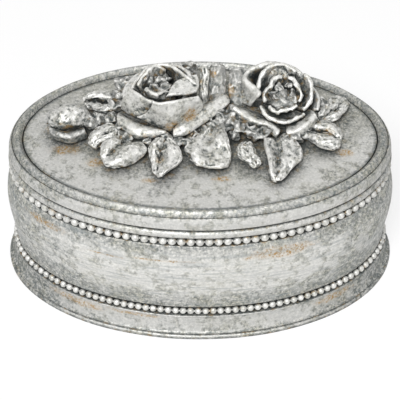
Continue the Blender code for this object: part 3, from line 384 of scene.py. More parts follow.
SHAPED_LEAVES = {
    "leaf_left": read_off(
        ((118, 97, 56.5), (118, 101, 57.0), (118, 105, 56.0), (117, 109, 56.5), (116, 113, 55.0)),
        ((108, 93, 57.0), (107, 97, 57.5), (106, 102, 55.4), (107, 108, 56.6), (108, 113, 54.8)),
        ((97, 91.5, 57.6), (95, 95, 57.6), (95, 100, 54.8), (97, 106, 56.0), (99, 112, 54.6)),
        ((88, 94, 57.4), (86, 97, 57.0), (87, 101, 54.8), (90, 105, 55.2), (92, 109, 54.0)),
        ((84, 98, 56.0), (84, 99.5, 55.6), (85, 101.5, 54.6), (86, 103.5, 54.4), (87, 105.5, 53.6)),
    ),
    "leaf_left_small": read_off(
        ((112, 124, 55.6), (114, 126, 56.2), (116, 128, 55.6), (118, 130, 56.0), (119, 133, 54.6)),
        ((103, 126, 56.0), (106, 129, 57.0), (109, 132, 56.0), (112, 135, 56.4), (114, 139, 54.4)),
        ((95, 130, 55.6), (99, 133, 56.8), (103, 136, 56.0), (106, 139, 56.0), (108, 143, 54.0)),
        ((90, 137, 54.6), (93, 139, 55.8), (96, 141, 55.4), (98, 143, 55.2), (100, 145.5, 53.8)),
        ((89, 144, 53.8), (90, 145, 54.2), (91, 146, 54.2), (92, 147, 54.0), (94, 147.5, 53.4)),
    ),
    "leaf_front_left": read_off(
        ((121, 138, 54.6), (123, 139.5, 55.0), (127, 142, 54.2), (133, 143, 55.4), (140, 143, 54.8)),
        ((113, 136.5, 55.4), (116, 141, 56.2), (120, 147, 54.4), (132, 148, 56.6), (147, 150, 54.8)),
        ((106, 142, 55.2), (109, 147, 56.2), (113, 153, 54.6), (125, 156, 56.4), (139, 160, 53.8)),
        ((103, 150, 54.6), (105, 154, 55.4), (108, 158, 54.5), (115, 161, 55.6), (124, 166, 53.4)),
        ((102, 158, 53.8), (102.5, 160, 54.0), (103, 162, 53.8), (104.5, 164, 53.8), (107, 166, 53.2)),
    ),
    "leaf_front_middle_left": read_off(
        ((158, 139, 55.5), (162, 138, 56.2), (166, 138, 55.8), (170, 139, 56.2), (174, 141, 55.4)),
        ((149, 148, 55.0), (155, 147, 56.2), (163, 147, 55.2), (171, 147, 56.4), (179, 150, 55.6)),
        ((150, 156, 54.2), (155, 157, 55.0), (161, 158, 54.2), (170, 156, 56.0), (182, 157, 56.2)),
        ((153, 165, 53.6), (156, 167, 54.0), (159, 168, 53.8), (166, 166, 55.6), (178, 163, 56.0)),
        ((156, 173, 53.3), (157, 176, 53.5), (158, 178, 53.6), (161, 177, 54.6), (164, 175, 54.9)),
    ),
    "leaf_front_centre": read_off(
        ((205, 130, 55.5), (209, 129, 56.0), (214, 128, 55.6), (220, 127, 56.2), (226, 129, 55.6)),
        ((190, 142, 55.0), (199, 141, 56.2), (209, 142, 55.4), (220, 139, 57.0), (229, 143, 56.0)),
        ((184, 149, 54.6), (196, 151, 56.0), (208, 153, 54.6), (220, 150, 55.4), (231, 153, 55.6)),
        ((190, 156, 54.0), (198, 159, 55.0), (209, 161, 54.2), (220, 160, 54.6), (231, 160, 54.8)),
        ((197, 163, 53.4), (203, 166, 54.0), (211, 168, 53.8), (220, 168.5, 54.2), (228, 166, 53.8)),
    ),
    "leaf_front_small": read_off(
        ((242, 143, 54.8), (243.5, 142, 55.4), (245, 141.5, 55.2), (247, 142.5, 55.4), (249, 144, 54.8)),
        ((238, 150, 54.6), (242, 149, 55.8), (246, 149, 55.0), (250, 148, 55.6), (254, 150, 54.8)),
        ((240, 157, 54.2), (244, 156, 55.4), (249, 155, 54.8), (253, 155, 55.4), (258, 156, 54.6)),
        ((247, 163, 53.8), (250, 162, 54.8), (253, 161, 54.4), (257, 161, 54.8), (260.5, 161, 54.2)),
        ((254, 168, 53.3), (256, 167.5, 53.8), (258, 167, 53.9), (260, 165.5, 53.8), (261.5, 164, 53.3)),
    ),
    "leaf_front_right": read_off(
        ((263, 137, 56.5), (268, 138, 56.0), (276, 138, 54.6), (286, 137, 56.0), (296, 138, 55.6)),
        ((265.5, 147, 57.2), (270, 147, 56.0), (277, 147, 54.4), (288, 146, 56.2), (302, 149, 54.8)),
        ((268, 158, 57.0), (272, 158, 55.8), (278, 158, 54.2), (288, 157, 55.8), (301, 160, 54.4)),
        ((270.5, 169, 55.8), (273, 169, 54.8), (277, 170, 54.0), (284, 169, 54.8), (292, 169, 53.9)),
        ((273, 179, 53.9), (274, 180.5, 53.7), (275, 181.5, 53.5), (277, 181, 53.6), (279, 179.5, 53.3)),
    ),
    "leaf_right": read_off(
        ((308, 124, 56.0), (308, 127, 56.4), (308, 131, 55.0), (307, 134, 55.6), (306, 137, 54.6)),
        ((318, 122, 56.2), (317, 127, 57.0), (316, 133, 55.0), (315, 138, 56.0), (314, 142.5, 54.2)),
        ((328, 121, 55.8), (328, 127, 57.0), (327, 134, 55.0), (325, 141, 56.0), (323, 148, 53.8)),
        ((337, 127, 55.2), (336, 131, 56.0), (335, 137, 54.8), (334, 143, 55.4), (332, 150, 53.6)),
        ((343, 136, 54.0), (342.5, 138.5, 54.4), (342, 141, 54.2), (341, 144, 54.2), (339, 147, 53.4)),
    ),
    "leaf_right_back": read_off(
        ((317, 113, 56.5), (318, 116, 56.6), (320, 119, 55.4), (323, 121, 55.6), (326, 122, 54.8)),
        ((321, 104, 56.8), (324, 109, 57.0), (328, 114.5, 55.0), (332, 117, 55.6), (335, 120, 54.4)),
        ((329, 98, 56.2), (332, 104, 56.4), (336, 109.5, 54.8), (339, 112, 55.2), (342, 115, 54.0)),
        ((338, 97, 55.0), (340, 100, 55.4), (342, 104, 54.6), (344, 107, 54.8), (346, 110, 53.8)),
        ((345, 99, 53.8), (346, 100, 54.0), (347, 101, 53.9), (347.5, 102.5, 53.9), (348, 104, 53.4)),
    ),
}

# Small lumps of foliage between leaves and petals: reading and radius in millimetres
CLUMPS = (
    (207, 118, 57.0, 2.0), (215, 112, 57.5, 2.2), (223, 116, 57.5, 2.0), (231, 122, 57.0, 2.2),
    (213, 124, 56.0, 1.8), (222, 127, 56.0, 1.8), (240, 127, 56.5, 2.0), (250, 131, 56.0, 2.0),
    (258, 134, 55.5, 1.8), (236, 134, 55.5, 1.6), (203, 130, 55.5, 1.6), (196, 136, 55.0, 1.6),
    (186, 141, 55.0, 1.5), (178, 141, 55.0, 1.5), (148, 142, 55.0, 1.6), (166, 139, 55.4, 1.6),
    (265, 132, 56.0, 1.6), (285, 139, 55.6, 1.6), (296, 137, 55.6, 1.8), (304, 131, 56.2, 1.8),
    (91, 122, 56.0, 2.0), (97, 119, 56.0, 1.8), (112, 119, 56.0, 2.0), (118, 128, 55.5, 2.0),
    (124, 137, 55.2, 1.8), (232, 112, 58.0, 2.0), (121, 96, 58.5, 2.4), (124, 84, 60.0, 2.4),
    (117, 104, 57.0, 2.2), (320, 104, 57.0, 2.0), (184, 69, 65.0, 1.6), (190, 66, 65.6, 1.7),
    (189, 72, 64.6, 1.7),
)

# The sepal in front of the bud, laid out in the same way
FRONT_SEPAL = read_off(
    ((50, 126, 55.0), (49, 129, 56.0), (50, 133, 54.6), (52, 135, 53.4)),
    ((60, 131, 55.0), (59, 134, 56.4), (60, 138, 54.8), (61, 141, 53.4)),
    ((72, 132, 55.0), (72, 135, 56.4), (73, 139, 54.8), (73, 142, 53.4)),
    ((84, 127, 55.0), (85, 130, 56.0), (87, 134, 54.6), (87, 137, 53.4)),
)

# Ochre stains: middle and reach in millimetres
PETAL_STAINS = (
    (picked(188, 113, 60.5), (3.2, 3.2, 3.2)),
    (picked(172, 126, 57.8), (2.6, 2.6, 2.6)),
    (picked(144, 102, 62.0), (1.8, 1.8, 1.8)),
    (picked(270, 97, 61.5), (1.6, 1.6, 1.6)),
    (picked(232, 92, 62.0), (2.4, 2.4, 2.4)),
)
UPRIGHT_STAINS = (
    (picked(197, 84, 64.5), (1.2, 2.0, 4.0)),
    (picked(231, 92, 61.0), (2.0, 2.0, 4.0)),
    (picked(214, 74, 66.0), (1.4, 1.4, 1.4)),
)
LEAF_STAINS = (
    (picked(328, 132, 56.0), (2.2, 2.2, 2.2)),
    (picked(160, 160, 55.0), (1.8, 1.8, 1.8)),
    (picked(268, 158, 55.0), (1.6, 1.6, 1.6)),
)
FIELD_STAINS = (
    (picked(66, 147, 53.0), (6.0, 2.6, 9.0)),
    (picked(96, 160, 53.0), (4.0, 2.2, 9.0)),
    (picked(222, 176, 53.0), (3.4, 1.4, 9.0)),
    (picked(150, 178, 53.0), (3.0, 1.2, 9.0)),
    (picked(345, 150, 53.0), (3.0, 2.0, 9.0)),
)
BELLY_STAINS = (
    ((-11.0, -38.5, 34.8), (13.0, 8.0, 0.5)),
    ((-30.0, -34.0, 33.8), (7.0, 6.0, 0.5)),
    ((26.0, -36.0, 36.0), (14.0, 8.0, 2.4)),
    ((-48.0, -22.0, 37.0), (9.0, 9.0, 1.6)),
)
FOOT_STAINS = (
    ((-40.0, -30.0, 6.5), (12.0, 9.0, 1.8)),
    ((-22.0, -37.0, 7.6), (10.0, 6.0, 0.9)),
    ((44.0, -27.0, 6.5), (9.0, 9.0, 1.8)),
)

SHAPED_PETALS = {
    "left_rose_cup_front": (LEFT_FRONT,),
    "left_rose_cup_back": (LEFT_SIDE, LEFT_RIM),
    "left_rose_inner_right": (LEFT_FOLDED,),
    "left_rose_outer_front_left": (LEFT_CRESCENT,),
    "left_rose_outer_front_right": (RIGHT_CRESCENT,),
    "right_rose_outer_back_left": (RIGHT_CORNER,),
    "right_rose_outer_front_left": (RIGHT_LEFT_CRESCENT,),
    "right_rose_outer_front_right": (RIGHT_RIGHT_CRESCENT,),
}


# Noise scales per metre, from broad to fine
SWIRL_SCALE = 60.0
CLOUD_SCALE = 150.0
DRIFT_SCALE = 430.0
BLOTCH_SCALE = 700.0
GRIT_SCALE = 1250.0
STREAK_STRETCH = (90.0, 90.0, 1300.0)
RELIEF_DEPTH = 0.0003

# Part of the box kept free of the darkening at its ends, which is dirt and painted shade, and parts of
# the field beside the sprig and inside the ridge
UNDARKENED_MIDDLE = ((0.0, 0.0, 0.0), (0.061, 0.2, 1.0))
BROWN_FIELD = ((0.005, 0.011, FIELD), (0.0545, 0.0274, 1.0))
OPEN_FIELD = ((0.0, 0.0, FIELD), (0.0580, 0.0337, 1.0))

# Painted shade by height: where it starts and is full, and its level. The lid edge's is a dark line at
# the groove under the ridge, less above it; the belly's grows towards its bottom and its top, beside the
# bead rows; the mound's grows lower down among the flowers.
BELLY_EDGE_SHADE = ((0.0220, 0.0135, 0.9), (0.0340, 0.0400, 0.75))
RIDGE_LINE_SHADE = ((SHOULDER - 0.0005, SHOULDER - 0.0001, 1.0),
              (SHOULDER + 0.0001, SHOULDER + 0.0008, -0.40))
MOUND_DEPTH_SHADE = ((0.0600, 0.0540, 0.5),)

# Finishes: the arguments of silver_leaf
FINISHES = {
    "leafed_foot": {"tone": 0.88, "speckle": 1.0, "mottle": 0.7, "ochre": 0.7, "reach": 0.0035,
                    "streak": 0.3, "glint": 0.0, "ends": 1.0, "stains": FOOT_STAINS, "stained": 1.3},
    "leafed_lid_edge": {"tone": 0.92, "speckle": 0.9, "mottle": 0.4, "ochre": 0.5, "reach": 0.0030,
                        "streak": 0.4, "glint": 0.0, "ends": 0.5, "darkened_heights": RIDGE_LINE_SHADE},
    "leafed_belly": {"tone": 1.06, "speckle": 0.8, "ochre": 0.9, "reach": 0.0060, "streak": 1.0,
                     "bump": 0.45, "glint": 0.0, "ends": 0.8, "darkened_heights": BELLY_EDGE_SHADE,
                     "stains": BELLY_STAINS, "stained": 1.4},
    "leafed_beads": {"tone": 0.95, "speckle": 0.8, "mottle": 0.7, "ochre": 1.0, "reach": 0.0018},
    "leafed_field": {"tone": 0.88, "speckle": 1.0, "mottle": 0.7, "ochre": 0.45, "reach": 0.0050,
                     "bump": 0.7, "glint": 0.0, "field": 0.75, "ends": 0.3, "stains": FIELD_STAINS,
                     "stained": 1.6},
    "leafed_petals": {"tone": 1.02, "speckle": 0.9, "mottle": 1.0, "ochre": 0.9, "reach": 0.0060,
                      "bump": 0.6, "glint": 0.7, "stains": PETAL_STAINS, "stained": 2.2},
    # The uprights between the roses take a darker copy of the leaf: painted shade.
    "leafed_uprights": {"tone": 0.50, "speckle": 1.0, "mottle": 1.0, "ochre": 1.0, "reach": 0.0060,
                        "bump": 1.0, "glint": 0.8, "stains": UPRIGHT_STAINS, "stained": 2.0},
    "leafed_leaves": {"tone": 0.96, "speckle": 1.0, "mottle": 1.0, "ochre": 0.8, "reach": 0.0055,
                      "bump": 0.9, "glint": 1.1, "stains": LEAF_STAINS, "stained": 1.6},
    # The mound, the rose seats, the roses' hearts and the front sepal take a darker copy of the leaf:
    # dark patina and painted shade low among the flowers.
    "leafed_mound": {"tone": 0.50, "speckle": 1.0, "mottle": 1.0, "ochre": 0.8, "reach": 0.0070,
                     "bump": 1.0, "glint": 0.7, "darkened_heights": MOUND_DEPTH_SHADE},
}


class KeepsakeShape(bpy.types.PropertyGroup):
    """Sizes of the visible detail."""

    oval_segments: bpy.props.IntProperty(
        name="Oval Segments", description="Steps round each oval moulding",
        default=240, min=48, max=720)
    wall_wave: bpy.props.FloatProperty(
        name="Wall Wave", description="How far the hand-finished walls wander",
        default=0.00010, min=0.0, max=0.001, subtype="DISTANCE", unit="LENGTH", precision=5)
    petal_thickness: bpy.props.FloatProperty(
        name="Petal Thickness", description="Thickness of a petal at its middle",
        default=0.0010, min=0.0004, max=0.002, subtype="DISTANCE", unit="LENGTH", precision=4)
    leaf_thickness: bpy.props.FloatProperty(
        name="Leaf Thickness", description="Thickness of a leaf at its middle",
        default=0.0011, min=0.0004, max=0.002, subtype="DISTANCE", unit="LENGTH", precision=4)
    lump_height: bpy.props.FloatProperty(
        name="Lump Height", description="Height of the soft lumps of the modelled sprig",
        default=0.00030, min=0.0, max=0.001, subtype="DISTANCE", unit="LENGTH", precision=5)
    crumple_height: bpy.props.FloatProperty(
        name="Crumple Height", description="Height of the creased facets of the sprig",
        default=0.00045, min=0.0, max=0.001, subtype="DISTANCE", unit="LENGTH", precision=5)
    grain_height: bpy.props.FloatProperty(
        name="Grain Height", description="Height of the fine grain of the modelled sprig",
        default=0.00010, min=0.0, max=0.0005, subtype="DISTANCE", unit="LENGTH", precision=5)


class KeepsakeFinish(bpy.types.PropertyGroup):
    """Colours and wear of the silver leaf and the felt."""

    silver: bpy.props.FloatVectorProperty(
        name="Silver", description="Clean silver leaf",
        default=(0.66, 0.655, 0.63), min=0.0, max=1.0, size=3, subtype="COLOR")
    worn_grey: bpy.props.FloatVectorProperty(
        name="Worn Grey", description="Speckles where the leaf is worn",
        default=(0.165, 0.185, 0.19), min=0.0, max=1.0, size=3, subtype="COLOR")
    ochre: bpy.props.FloatVectorProperty(
        name="Ochre", description="Patina left beside the edges",
        default=(0.40, 0.25, 0.09), min=0.0, max=1.0, size=3, subtype="COLOR")
    tarnish: bpy.props.FloatVectorProperty(
        name="Tarnish", description="Browner leaf of the field beside the flowers",
        default=(0.31, 0.30, 0.235), min=0.0, max=1.0, size=3, subtype="COLOR")
    film: bpy.props.FloatVectorProperty(
        name="Film", description="Thin even dirt over the leaf",
        default=(0.255, 0.25, 0.215), min=0.0, max=1.0, size=3, subtype="COLOR")
    # Near-black patina at the bottom of the hollows, which also paints the shade there.
    shade: bpy.props.FloatVectorProperty(
        name="Shade", description="Dark patina at the bottom of the hollows",
        default=(0.030, 0.035, 0.034), min=0.0, max=1.0, size=3, subtype="COLOR")
    felt: bpy.props.FloatVectorProperty(
        name="Felt", description="Felt of the linings",
        default=(0.05, 0.05, 0.055), min=0.0, max=1.0, size=3, subtype="COLOR")
    roughness: bpy.props.FloatProperty(
        name="Roughness", description="Roughness of rubbed silver leaf",
        default=0.40, min=0.05, max=1.0, subtype="FACTOR")
    metallic: bpy.props.FloatProperty(
        name="Metallic", description="How metallic clean leaf is",
        default=0.38, min=0.0, max=1.0, subtype="FACTOR")


class KeepsakeStudio(bpy.types.PropertyGroup):
    """Levels of the plain studio."""

    key_power: bpy.props.FloatProperty(
        name="Key Power", description="Power of the soft lamp at the upper front left",
        default=10.5, min=0.0, max=100.0, subtype="POWER", unit="POWER")
    fill_power: bpy.props.FloatProperty(
        name="Fill Power", description="Power of the soft lamp at the right",
        default=1.0, min=0.0, max=100.0, subtype="POWER", unit="POWER")
    sky_level: bpy.props.FloatProperty(
        name="Sky Level", description="Strength of the even light from all round",
        default=0.25, min=0.0, max=2.0, subtype="FACTOR")
    floor_colour: bpy.props.FloatVectorProperty(
        name="Floor Colour", description="Colour of the floor",
        default=(0.90, 0.90, 0.90), min=0.0, max=1.0, size=3, subtype="COLOR")


class Value:
    """A shader socket in Python sums: each operator adds one Math node."""

    def __init__(self, paint, socket):
        self.paint = paint
        self.socket = socket

    def maths(self, operation, first, second=0.0, clamp=False):
        """Add a Math node."""
        return self.paint.node("ShaderNodeMath", {"operation": operation, "use_clamp": clamp},
                               {0: first, 1: second})

    def __add__(self, other):
        return self.maths("ADD", self, other)

    def __sub__(self, other):
        return self.maths("SUBTRACT", self, other)

    def __rsub__(self, other):
        return self.maths("SUBTRACT", other, self)

    def __mul__(self, other):
        return self.maths("MULTIPLY", self, other)

    def __pow__(self, other):
        return self.maths("POWER", self, other)

    __radd__ = __add__
    __rmul__ = __mul__

    def clamped(self):
        """Return the value held between 0 and 1."""
        return self.maths("ADD", self, 0.0, clamp=True)


class Paint:
    """The node tree of a material or of the world while it is written."""

    def __init__(self, tree):
        self.tree = tree
        tree.nodes.clear()

    def node(self, kind, settings=None, sockets=None, output=0):
        """Add a node: its settings first, then the values or links of its sockets."""
        node = self.tree.nodes.new(kind)
        for key, value in (settings or {}).items():
            if key == "stops":
                self.set_stops(node.color_ramp, value)
            else:
                setattr(node, key, value)
        for key, value in (sockets or {}).items():
            if isinstance(value, Value):
                self.tree.links.new(value.socket, node.inputs[key])
            else:
                node.inputs[key].default_value = value
        return Value(self, node.outputs[output]) if node.outputs else None

    def set_stops(self, ramp, stops):
        """Give a colour ramp its (place, grey) stops."""
        while len(ramp.elements) < len(stops):
            ramp.elements.new(1.0)
        for element, (place, grey) in zip(ramp.elements, stops):
            element.position = place
            element.color = (grey, grey, grey, 1.0)

    def noise(self, scale, detail, place, roughness=0.5):
        """Add noise of a scale per metre."""
        return self.node("ShaderNodeTexNoise", None,
                         {"Scale": scale, "Detail": detail, "Roughness": roughness,
                          "Vector": place})

    def ramp(self, value, *stops):
        """Add a grey ramp."""
        return self.node("ShaderNodeValToRGB", {"stops": stops}, {"Fac": value})

    def mix(self, mask, first, second, kind="MIX"):
        """Mix two colours."""
        return self.node("ShaderNodeMix", {"data_type": "RGBA", "blend_type": kind},
                         {0: mask, 6: first, 7: second}, 2)

    def stretch(self, place, scale):
        """Stretch a place by a vector."""
        return self.node("ShaderNodeVectorMath", {"operation": "MULTIPLY"},
                         {0: place, 1: scale})

    def patch(self, place, middle, reach, rough):
        """Return 1 near a middle and 0 beyond a reach in metres, with a rough edge."""
        gap = self.node("ShaderNodeVectorMath", {"operation": "SUBTRACT"}, {0: place, 1: middle})
        spread = self.node("ShaderNodeVectorMath", {"operation": "LENGTH"},
                           {0: self.stretch(gap, [1.0 / side for side in reach])}, 1)
        return self.ramp(spread + rough, (0.60, 1.0), (1.0, 0.0))

    def position(self):
        """Return the place on the piece, in metres."""
        return self.node("ShaderNodeTexCoord", None, None, "Object")


def rgba(colour, level=1.0):
    """Return a colour with alpha, at a level."""
    return (*(channel * level for channel in colour), 1.0)


def silver_leaf(name, tone=1.0, speckle=0.6, mottle=0.5, ochre=0.6, reach=0.003, streak=0.0,
                bump=0.5, glint=0.5, field=0.0, ends=0.0, darkened_heights=(), stains=(),
                stained=1.0):
    """Return worn silver leaf: speckled grey, ochre beside edges, dark patina and painted shade in
    hollows, and bright wear and painted highlights on ridges.

    field is how brown the lid's field is beside the sprig, and ends how much dirt and painted
    shade darken the box's ends. The darkened heights give where painted shade starts and is
    full, with its level, and stains the middles and reaches of the ochre patches, whose strength
    is stained.
    """
    finish = bpy.context.scene.keepsake_finish
    material = bpy.data.materials.new(name)
    material.use_nodes = True
    paint = Paint(material.node_tree)
    place = paint.position()
    swirl = paint.noise(SWIRL_SCALE, 3.0, place, 0.6)
    clouds = paint.noise(CLOUD_SCALE, 3.0, place, 0.6)
    drifts = paint.noise(DRIFT_SCALE, 3.0, place, 0.6)
    grit = paint.noise(GRIT_SCALE, 3.0, place, 0.75)
    blotches = paint.noise(BLOTCH_SCALE, 4.0, place, 0.66)
    # Ambient occlusion and concave pointiness find the hollows and creases; the marks they drive below
    # paint shade there, along with the patina the leaf has in its hollows.
    hidden = paint.node("ShaderNodeAmbientOcclusion", {"samples": 8}, {"Distance": reach}, 1)
    hollow = (1.0 - hidden).clamped()
    bend = paint.node("ShaderNodeNewGeometry", None, None, "Pointiness")
    crease = paint.ramp(bend, (0.44, 1.0), (0.496, 0.0))
    # This mask darkens the leaf: painted shade in hollows and creases, random drifts of dirt, dirt and
    # painted shade at the ends, painted shade by height and the field's brown tarnish. It also thickens
    # the film, the tarnish, the worn specks and the dark blotches.
    grime_and_shade = hollow * 2.0 + crease - 0.1
    grime_and_shade = grime_and_shade + paint.ramp(drifts + (clouds - 0.5) * 0.8, (0.46, 0.0), (0.64, 1.0)) * 0.55
    # Darker towards the box's ends: dirt and painted shade.
    if ends:
        grime_and_shade = grime_and_shade + ends * (1.0 - paint.patch(place, *UNDARKENED_MIDDLE, (clouds - 0.5) * 0.5))
    # Darker at the listed heights: painted shade.
    for begin, full, level in darkened_heights:
        above = paint.node("ShaderNodeSeparateXYZ", None, {0: place}, 2)
        shade_share = paint.node("ShaderNodeMapRange", None, {0: above, 1: begin, 2: full})
        grime_and_shade = grime_and_shade + level * shade_share
    leaf = paint.mix(clouds, rgba(finish.silver, tone * 0.86), rgba(finish.silver, tone * 1.14))
    if field:
        brown = paint.patch(place, *BROWN_FIELD, (clouds - 0.5) * 0.9)
        leaf = paint.mix(brown * field, leaf, rgba(finish.tarnish))
        # A dark ring at the field's edge, at the foot of the ridge: patina and painted shade.
        edge = 1.0 - paint.patch(place, *OPEN_FIELD, (blotches - 0.5) * 0.02)
        edge = paint.ramp(edge, (0.90, 0.0), (0.95, 1.0))
        leaf = paint.mix(edge * 0.9, leaf, rgba(finish.worn_grey, 0.6))
        grime_and_shade = grime_and_shade + brown * 0.5
    grime_and_shade = grime_and_shade.clamped()
    # The film darkens the leaf by the mask: thin dirt, and painted shade in hollows and creases.
    leaf = paint.mix(grime_and_shade * 0.45, leaf, rgba(finish.film, tone))
    bloom = paint.ramp(drifts * 0.5 + swirl * 0.5 + (clouds - 0.5) * 0.4, (0.46, 0.0), (0.60, 1.0))
    leaf = paint.mix(bloom * (0.20 + 0.40 * grime_and_shade), leaf, rgba(finish.tarnish, tone * 1.45))
    specks = paint.ramp(grit, (0.50, 0.0), (0.58, 1.0))
    worn = paint.mix(specks * (0.14 + 0.86 * grime_and_shade) * speckle, leaf, rgba(finish.worn_grey))
    clean = paint.ramp(grit, (0.36, 1.0), (0.45, 0.0))
    worn = paint.mix(clean * 0.45, worn, rgba(finish.silver, tone * 1.35))
    # Dark blotches by the mask: mottled patina, and painted shade in hollows.
    dark = paint.ramp(blotches, (0.46, 0.0), (0.54, 1.0)) * grime_and_shade * mottle
    pitted = paint.mix(dark, worn, rgba(finish.shade, 2.6))
    warm = paint.ramp(hollow * 0.5 + (drifts - 0.5) * 2.4, (0.36, 0.0), (0.56, 1.0)) * ochre
    warm = warm * (hollow * 2.0).clamped()
    for middle, size in stains:
        ragged = (drifts - 0.5) * 1.6 + (grit - 0.5) * 1.2
        stain = paint.patch(place, [side / 1000 for side in middle],
                            [side / 1000 for side in size], ragged)
        warm = (warm + stain * (0.14 + specks * 0.55) * stained).clamped()
    patina = paint.mix(warm, pitted, rgba(finish.ochre))
    # Near black deep in hollows and creases: dark patina and painted contact shade.
    depth = paint.ramp(hollow + (blotches - 0.5) * 0.45 + crease * 0.30, (0.36, 0.0),
                       (0.80, 1.0))
    shaded = paint.mix(depth, patina, rgba(finish.shade))
    # Bright silver on ridges and lips: wear that rubs the leaf bright, and painted highlights.
    ridge = paint.ramp(bend, (0.505, 0.0), (0.55, 1.0))
    rubbed_and_glinting = (ridge * paint.ramp(blotches, (0.44, 0.0), (0.54, 1.0)) * glint).clamped()
    colour = paint.mix(rubbed_and_glinting * (1.0 - depth), shaded, rgba(finish.silver, 1.40))
    relief = grit * 0.6 + blotches * 0.5
    if streak:
        lines = paint.noise(1.0, 3.0, paint.stretch(place, STREAK_STRETCH), 0.62)
        relief = relief + lines * streak
        colour = paint.mix(paint.ramp(lines, (0.48, 0.0), (0.66, 1.0)) * (0.45 * streak), colour,
                           rgba(finish.worn_grey, 1.6))
    # This mask dulls and roughens the leaf where the dark patina, the painted shade and the ochre lie.
    dirt = (depth + dark * 0.6 + warm * 0.4).clamped()
    normal = paint.node("ShaderNodeBump", None,
                        {"Strength": bump, "Distance": RELIEF_DEPTH, "Height": relief})
    shader = paint.node("ShaderNodeBsdfPrincipled", None,
                        {"Base Color": colour,
                         "Metallic": finish.metallic * (1.0 - 0.80 * dirt),
                         "Specular IOR Level": 0.3,
                         "Roughness": finish.roughness + 0.12 * clouds + 0.30 * dirt,
                         "Normal": normal})
    paint.node("ShaderNodeOutputMaterial", None, {"Surface": shader})
    material.diffuse_color = rgba(finish.silver, tone)
    return material


def black_felt(name):
    """Return short felt with fine fibres."""
    finish = bpy.context.scene.keepsake_finish
    material = bpy.data.materials.new(name)
    material.use_nodes = True
    paint = Paint(material.node_tree)
    place = paint.position()
    fibres = paint.noise(1.0, 4.0, paint.stretch(place, (2600.0, 900.0, 2600.0)), 0.7)
    crossed = paint.noise(1.0, 4.0, paint.stretch(place, (900.0, 2600.0, 2600.0)), 0.7)
    pile = (fibres + crossed) * 0.5
    tufts = paint.noise(260.0, 3.0, place)
    colour = paint.mix((pile * 0.8 + tufts * 0.4 - 0.1).clamped(), rgba(finish.felt, 0.45),
                       rgba(finish.felt, 1.9))
    normal = paint.node("ShaderNodeBump", None,
                        {"Strength": 0.8, "Distance": 0.0002, "Height": pile})
    shader = paint.node("ShaderNodeBsdfPrincipled", None,
                        {"Base Color": colour, "Metallic": 0.0,
                         "Roughness": 0.85 + 0.1 * tufts, "Sheen Weight": 0.3,
                         "Normal": normal})
    paint.node("ShaderNodeOutputMaterial", None, {"Surface": shader})
    material.diffuse_color = rgba(finish.felt)
    return material


def finish_named(name):
    """Return one of the box's finishes, made when it is first asked for."""
    if name in bpy.data.materials:
        return bpy.data.materials[name]
    if name == "black_felt":
        return black_felt(name)
    return silver_leaf(name, **FINISHES[name])


def add_piece(name, bm, body, slot, finish, *nodes):
    """Turn a bmesh into a smooth piece that rides on a body and stands for nodes."""
    bmesh.ops.recalc_face_normals(bm, faces=bm.faces)
    mesh = bpy.data.meshes.new(name)
    bm.to_mesh(mesh)
    bm.free()
    mesh.shade_smooth()
    mesh.set_sharp_from_angle(angle=math.radians(75))
    mesh.materials.append(finish_named(finish))
    piece = bpy.data.objects.new(name, mesh)
    bpy.context.scene.collection.objects.link(piece)
    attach(piece, body)
    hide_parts(*nodes)
    return piece


def softened(profile, radius, closed):
    """Return a section with its corners rounded."""
    count = len(profile)
    rounded = []
    for index, point in enumerate(profile):
        here = Vector(point)
        if not closed and index in (0, count - 1):
            rounded.append(here)
            continue
        back = Vector(profile[index - 1]) - here
        ahead = Vector(profile[(index + 1) % count]) - here
        if back.angle(ahead) > math.radians(150):
            rounded.append(here)
            continue
        start = here + back.normalized() * min(radius, back.length * 0.45)
        end = here + ahead.normalized() * min(radius, ahead.length * 0.45)
        for share in (0.0, 0.25, 0.5, 0.75, 1.0):
            rounded.append(start.lerp(here, share).lerp(here.lerp(end, share), share))
    return rounded


def wander(point, height, length):
    """Return how far the hand-made surface wanders at a point."""
    return noise.noise_vector(point / length) * height


def swept(profile, closed, half=FOOT_HALF, centre=(0.0, 0.0), wave=None, segments=None):
    """Return a bmesh of a section swept round an oval."""
    shape = bpy.context.scene.keepsake_shape
    segments = segments or shape.oval_segments
    wave = wave or (shape.wall_wave, 0.018)
    bm = bmesh.new()
    rows = []
    for step in range(segments):
        turn = math.tau * step / segments
        row = []
        for inset, height in profile:
            point = Vector((centre[0] + (half[0] - inset) * math.cos(turn),
                            centre[1] + (half[1] - inset) * math.sin(turn), height))
            point += wander(point, *wave)
            point.z = max(point.z, 0.0)
            row.append(bm.verts.new(point))
        rows.append(row)
    spans = len(profile) if closed else len(profile) - 1
    for step, row in enumerate(rows):
        following = rows[(step + 1) % segments]
        for index in range(spans):
            after = (index + 1) % len(profile)
            bm.faces.new((row[index], following[index], following[after], row[after]))
    if not closed:
        bm.faces.new([row[0] for row in rows])
        bm.faces.new([row[-1] for row in rows])
    return bm


def evenly_spaced(inset, count):
    """Return the angles of points spaced evenly by length round an oval."""
    half_length, half_width = (side - inset for side in FOOT_HALF)
    fine = 20 * count
    lengths = [0.0]
    for step in range(fine):
        turn = math.tau * (step + 0.5) / fine
        lengths.append(lengths[-1] + math.hypot(half_length * math.sin(turn),
                                                half_width * math.cos(turn)))
    angles = []
    step = 0
    for index in range(count):
        wanted = lengths[-1] * index / count
        while lengths[step + 1] < wanted:
            step += 1
        share = (wanted - lengths[step]) / (lengths[step + 1] - lengths[step])
        angles.append(math.tau * (step + share) / fine)
    return angles


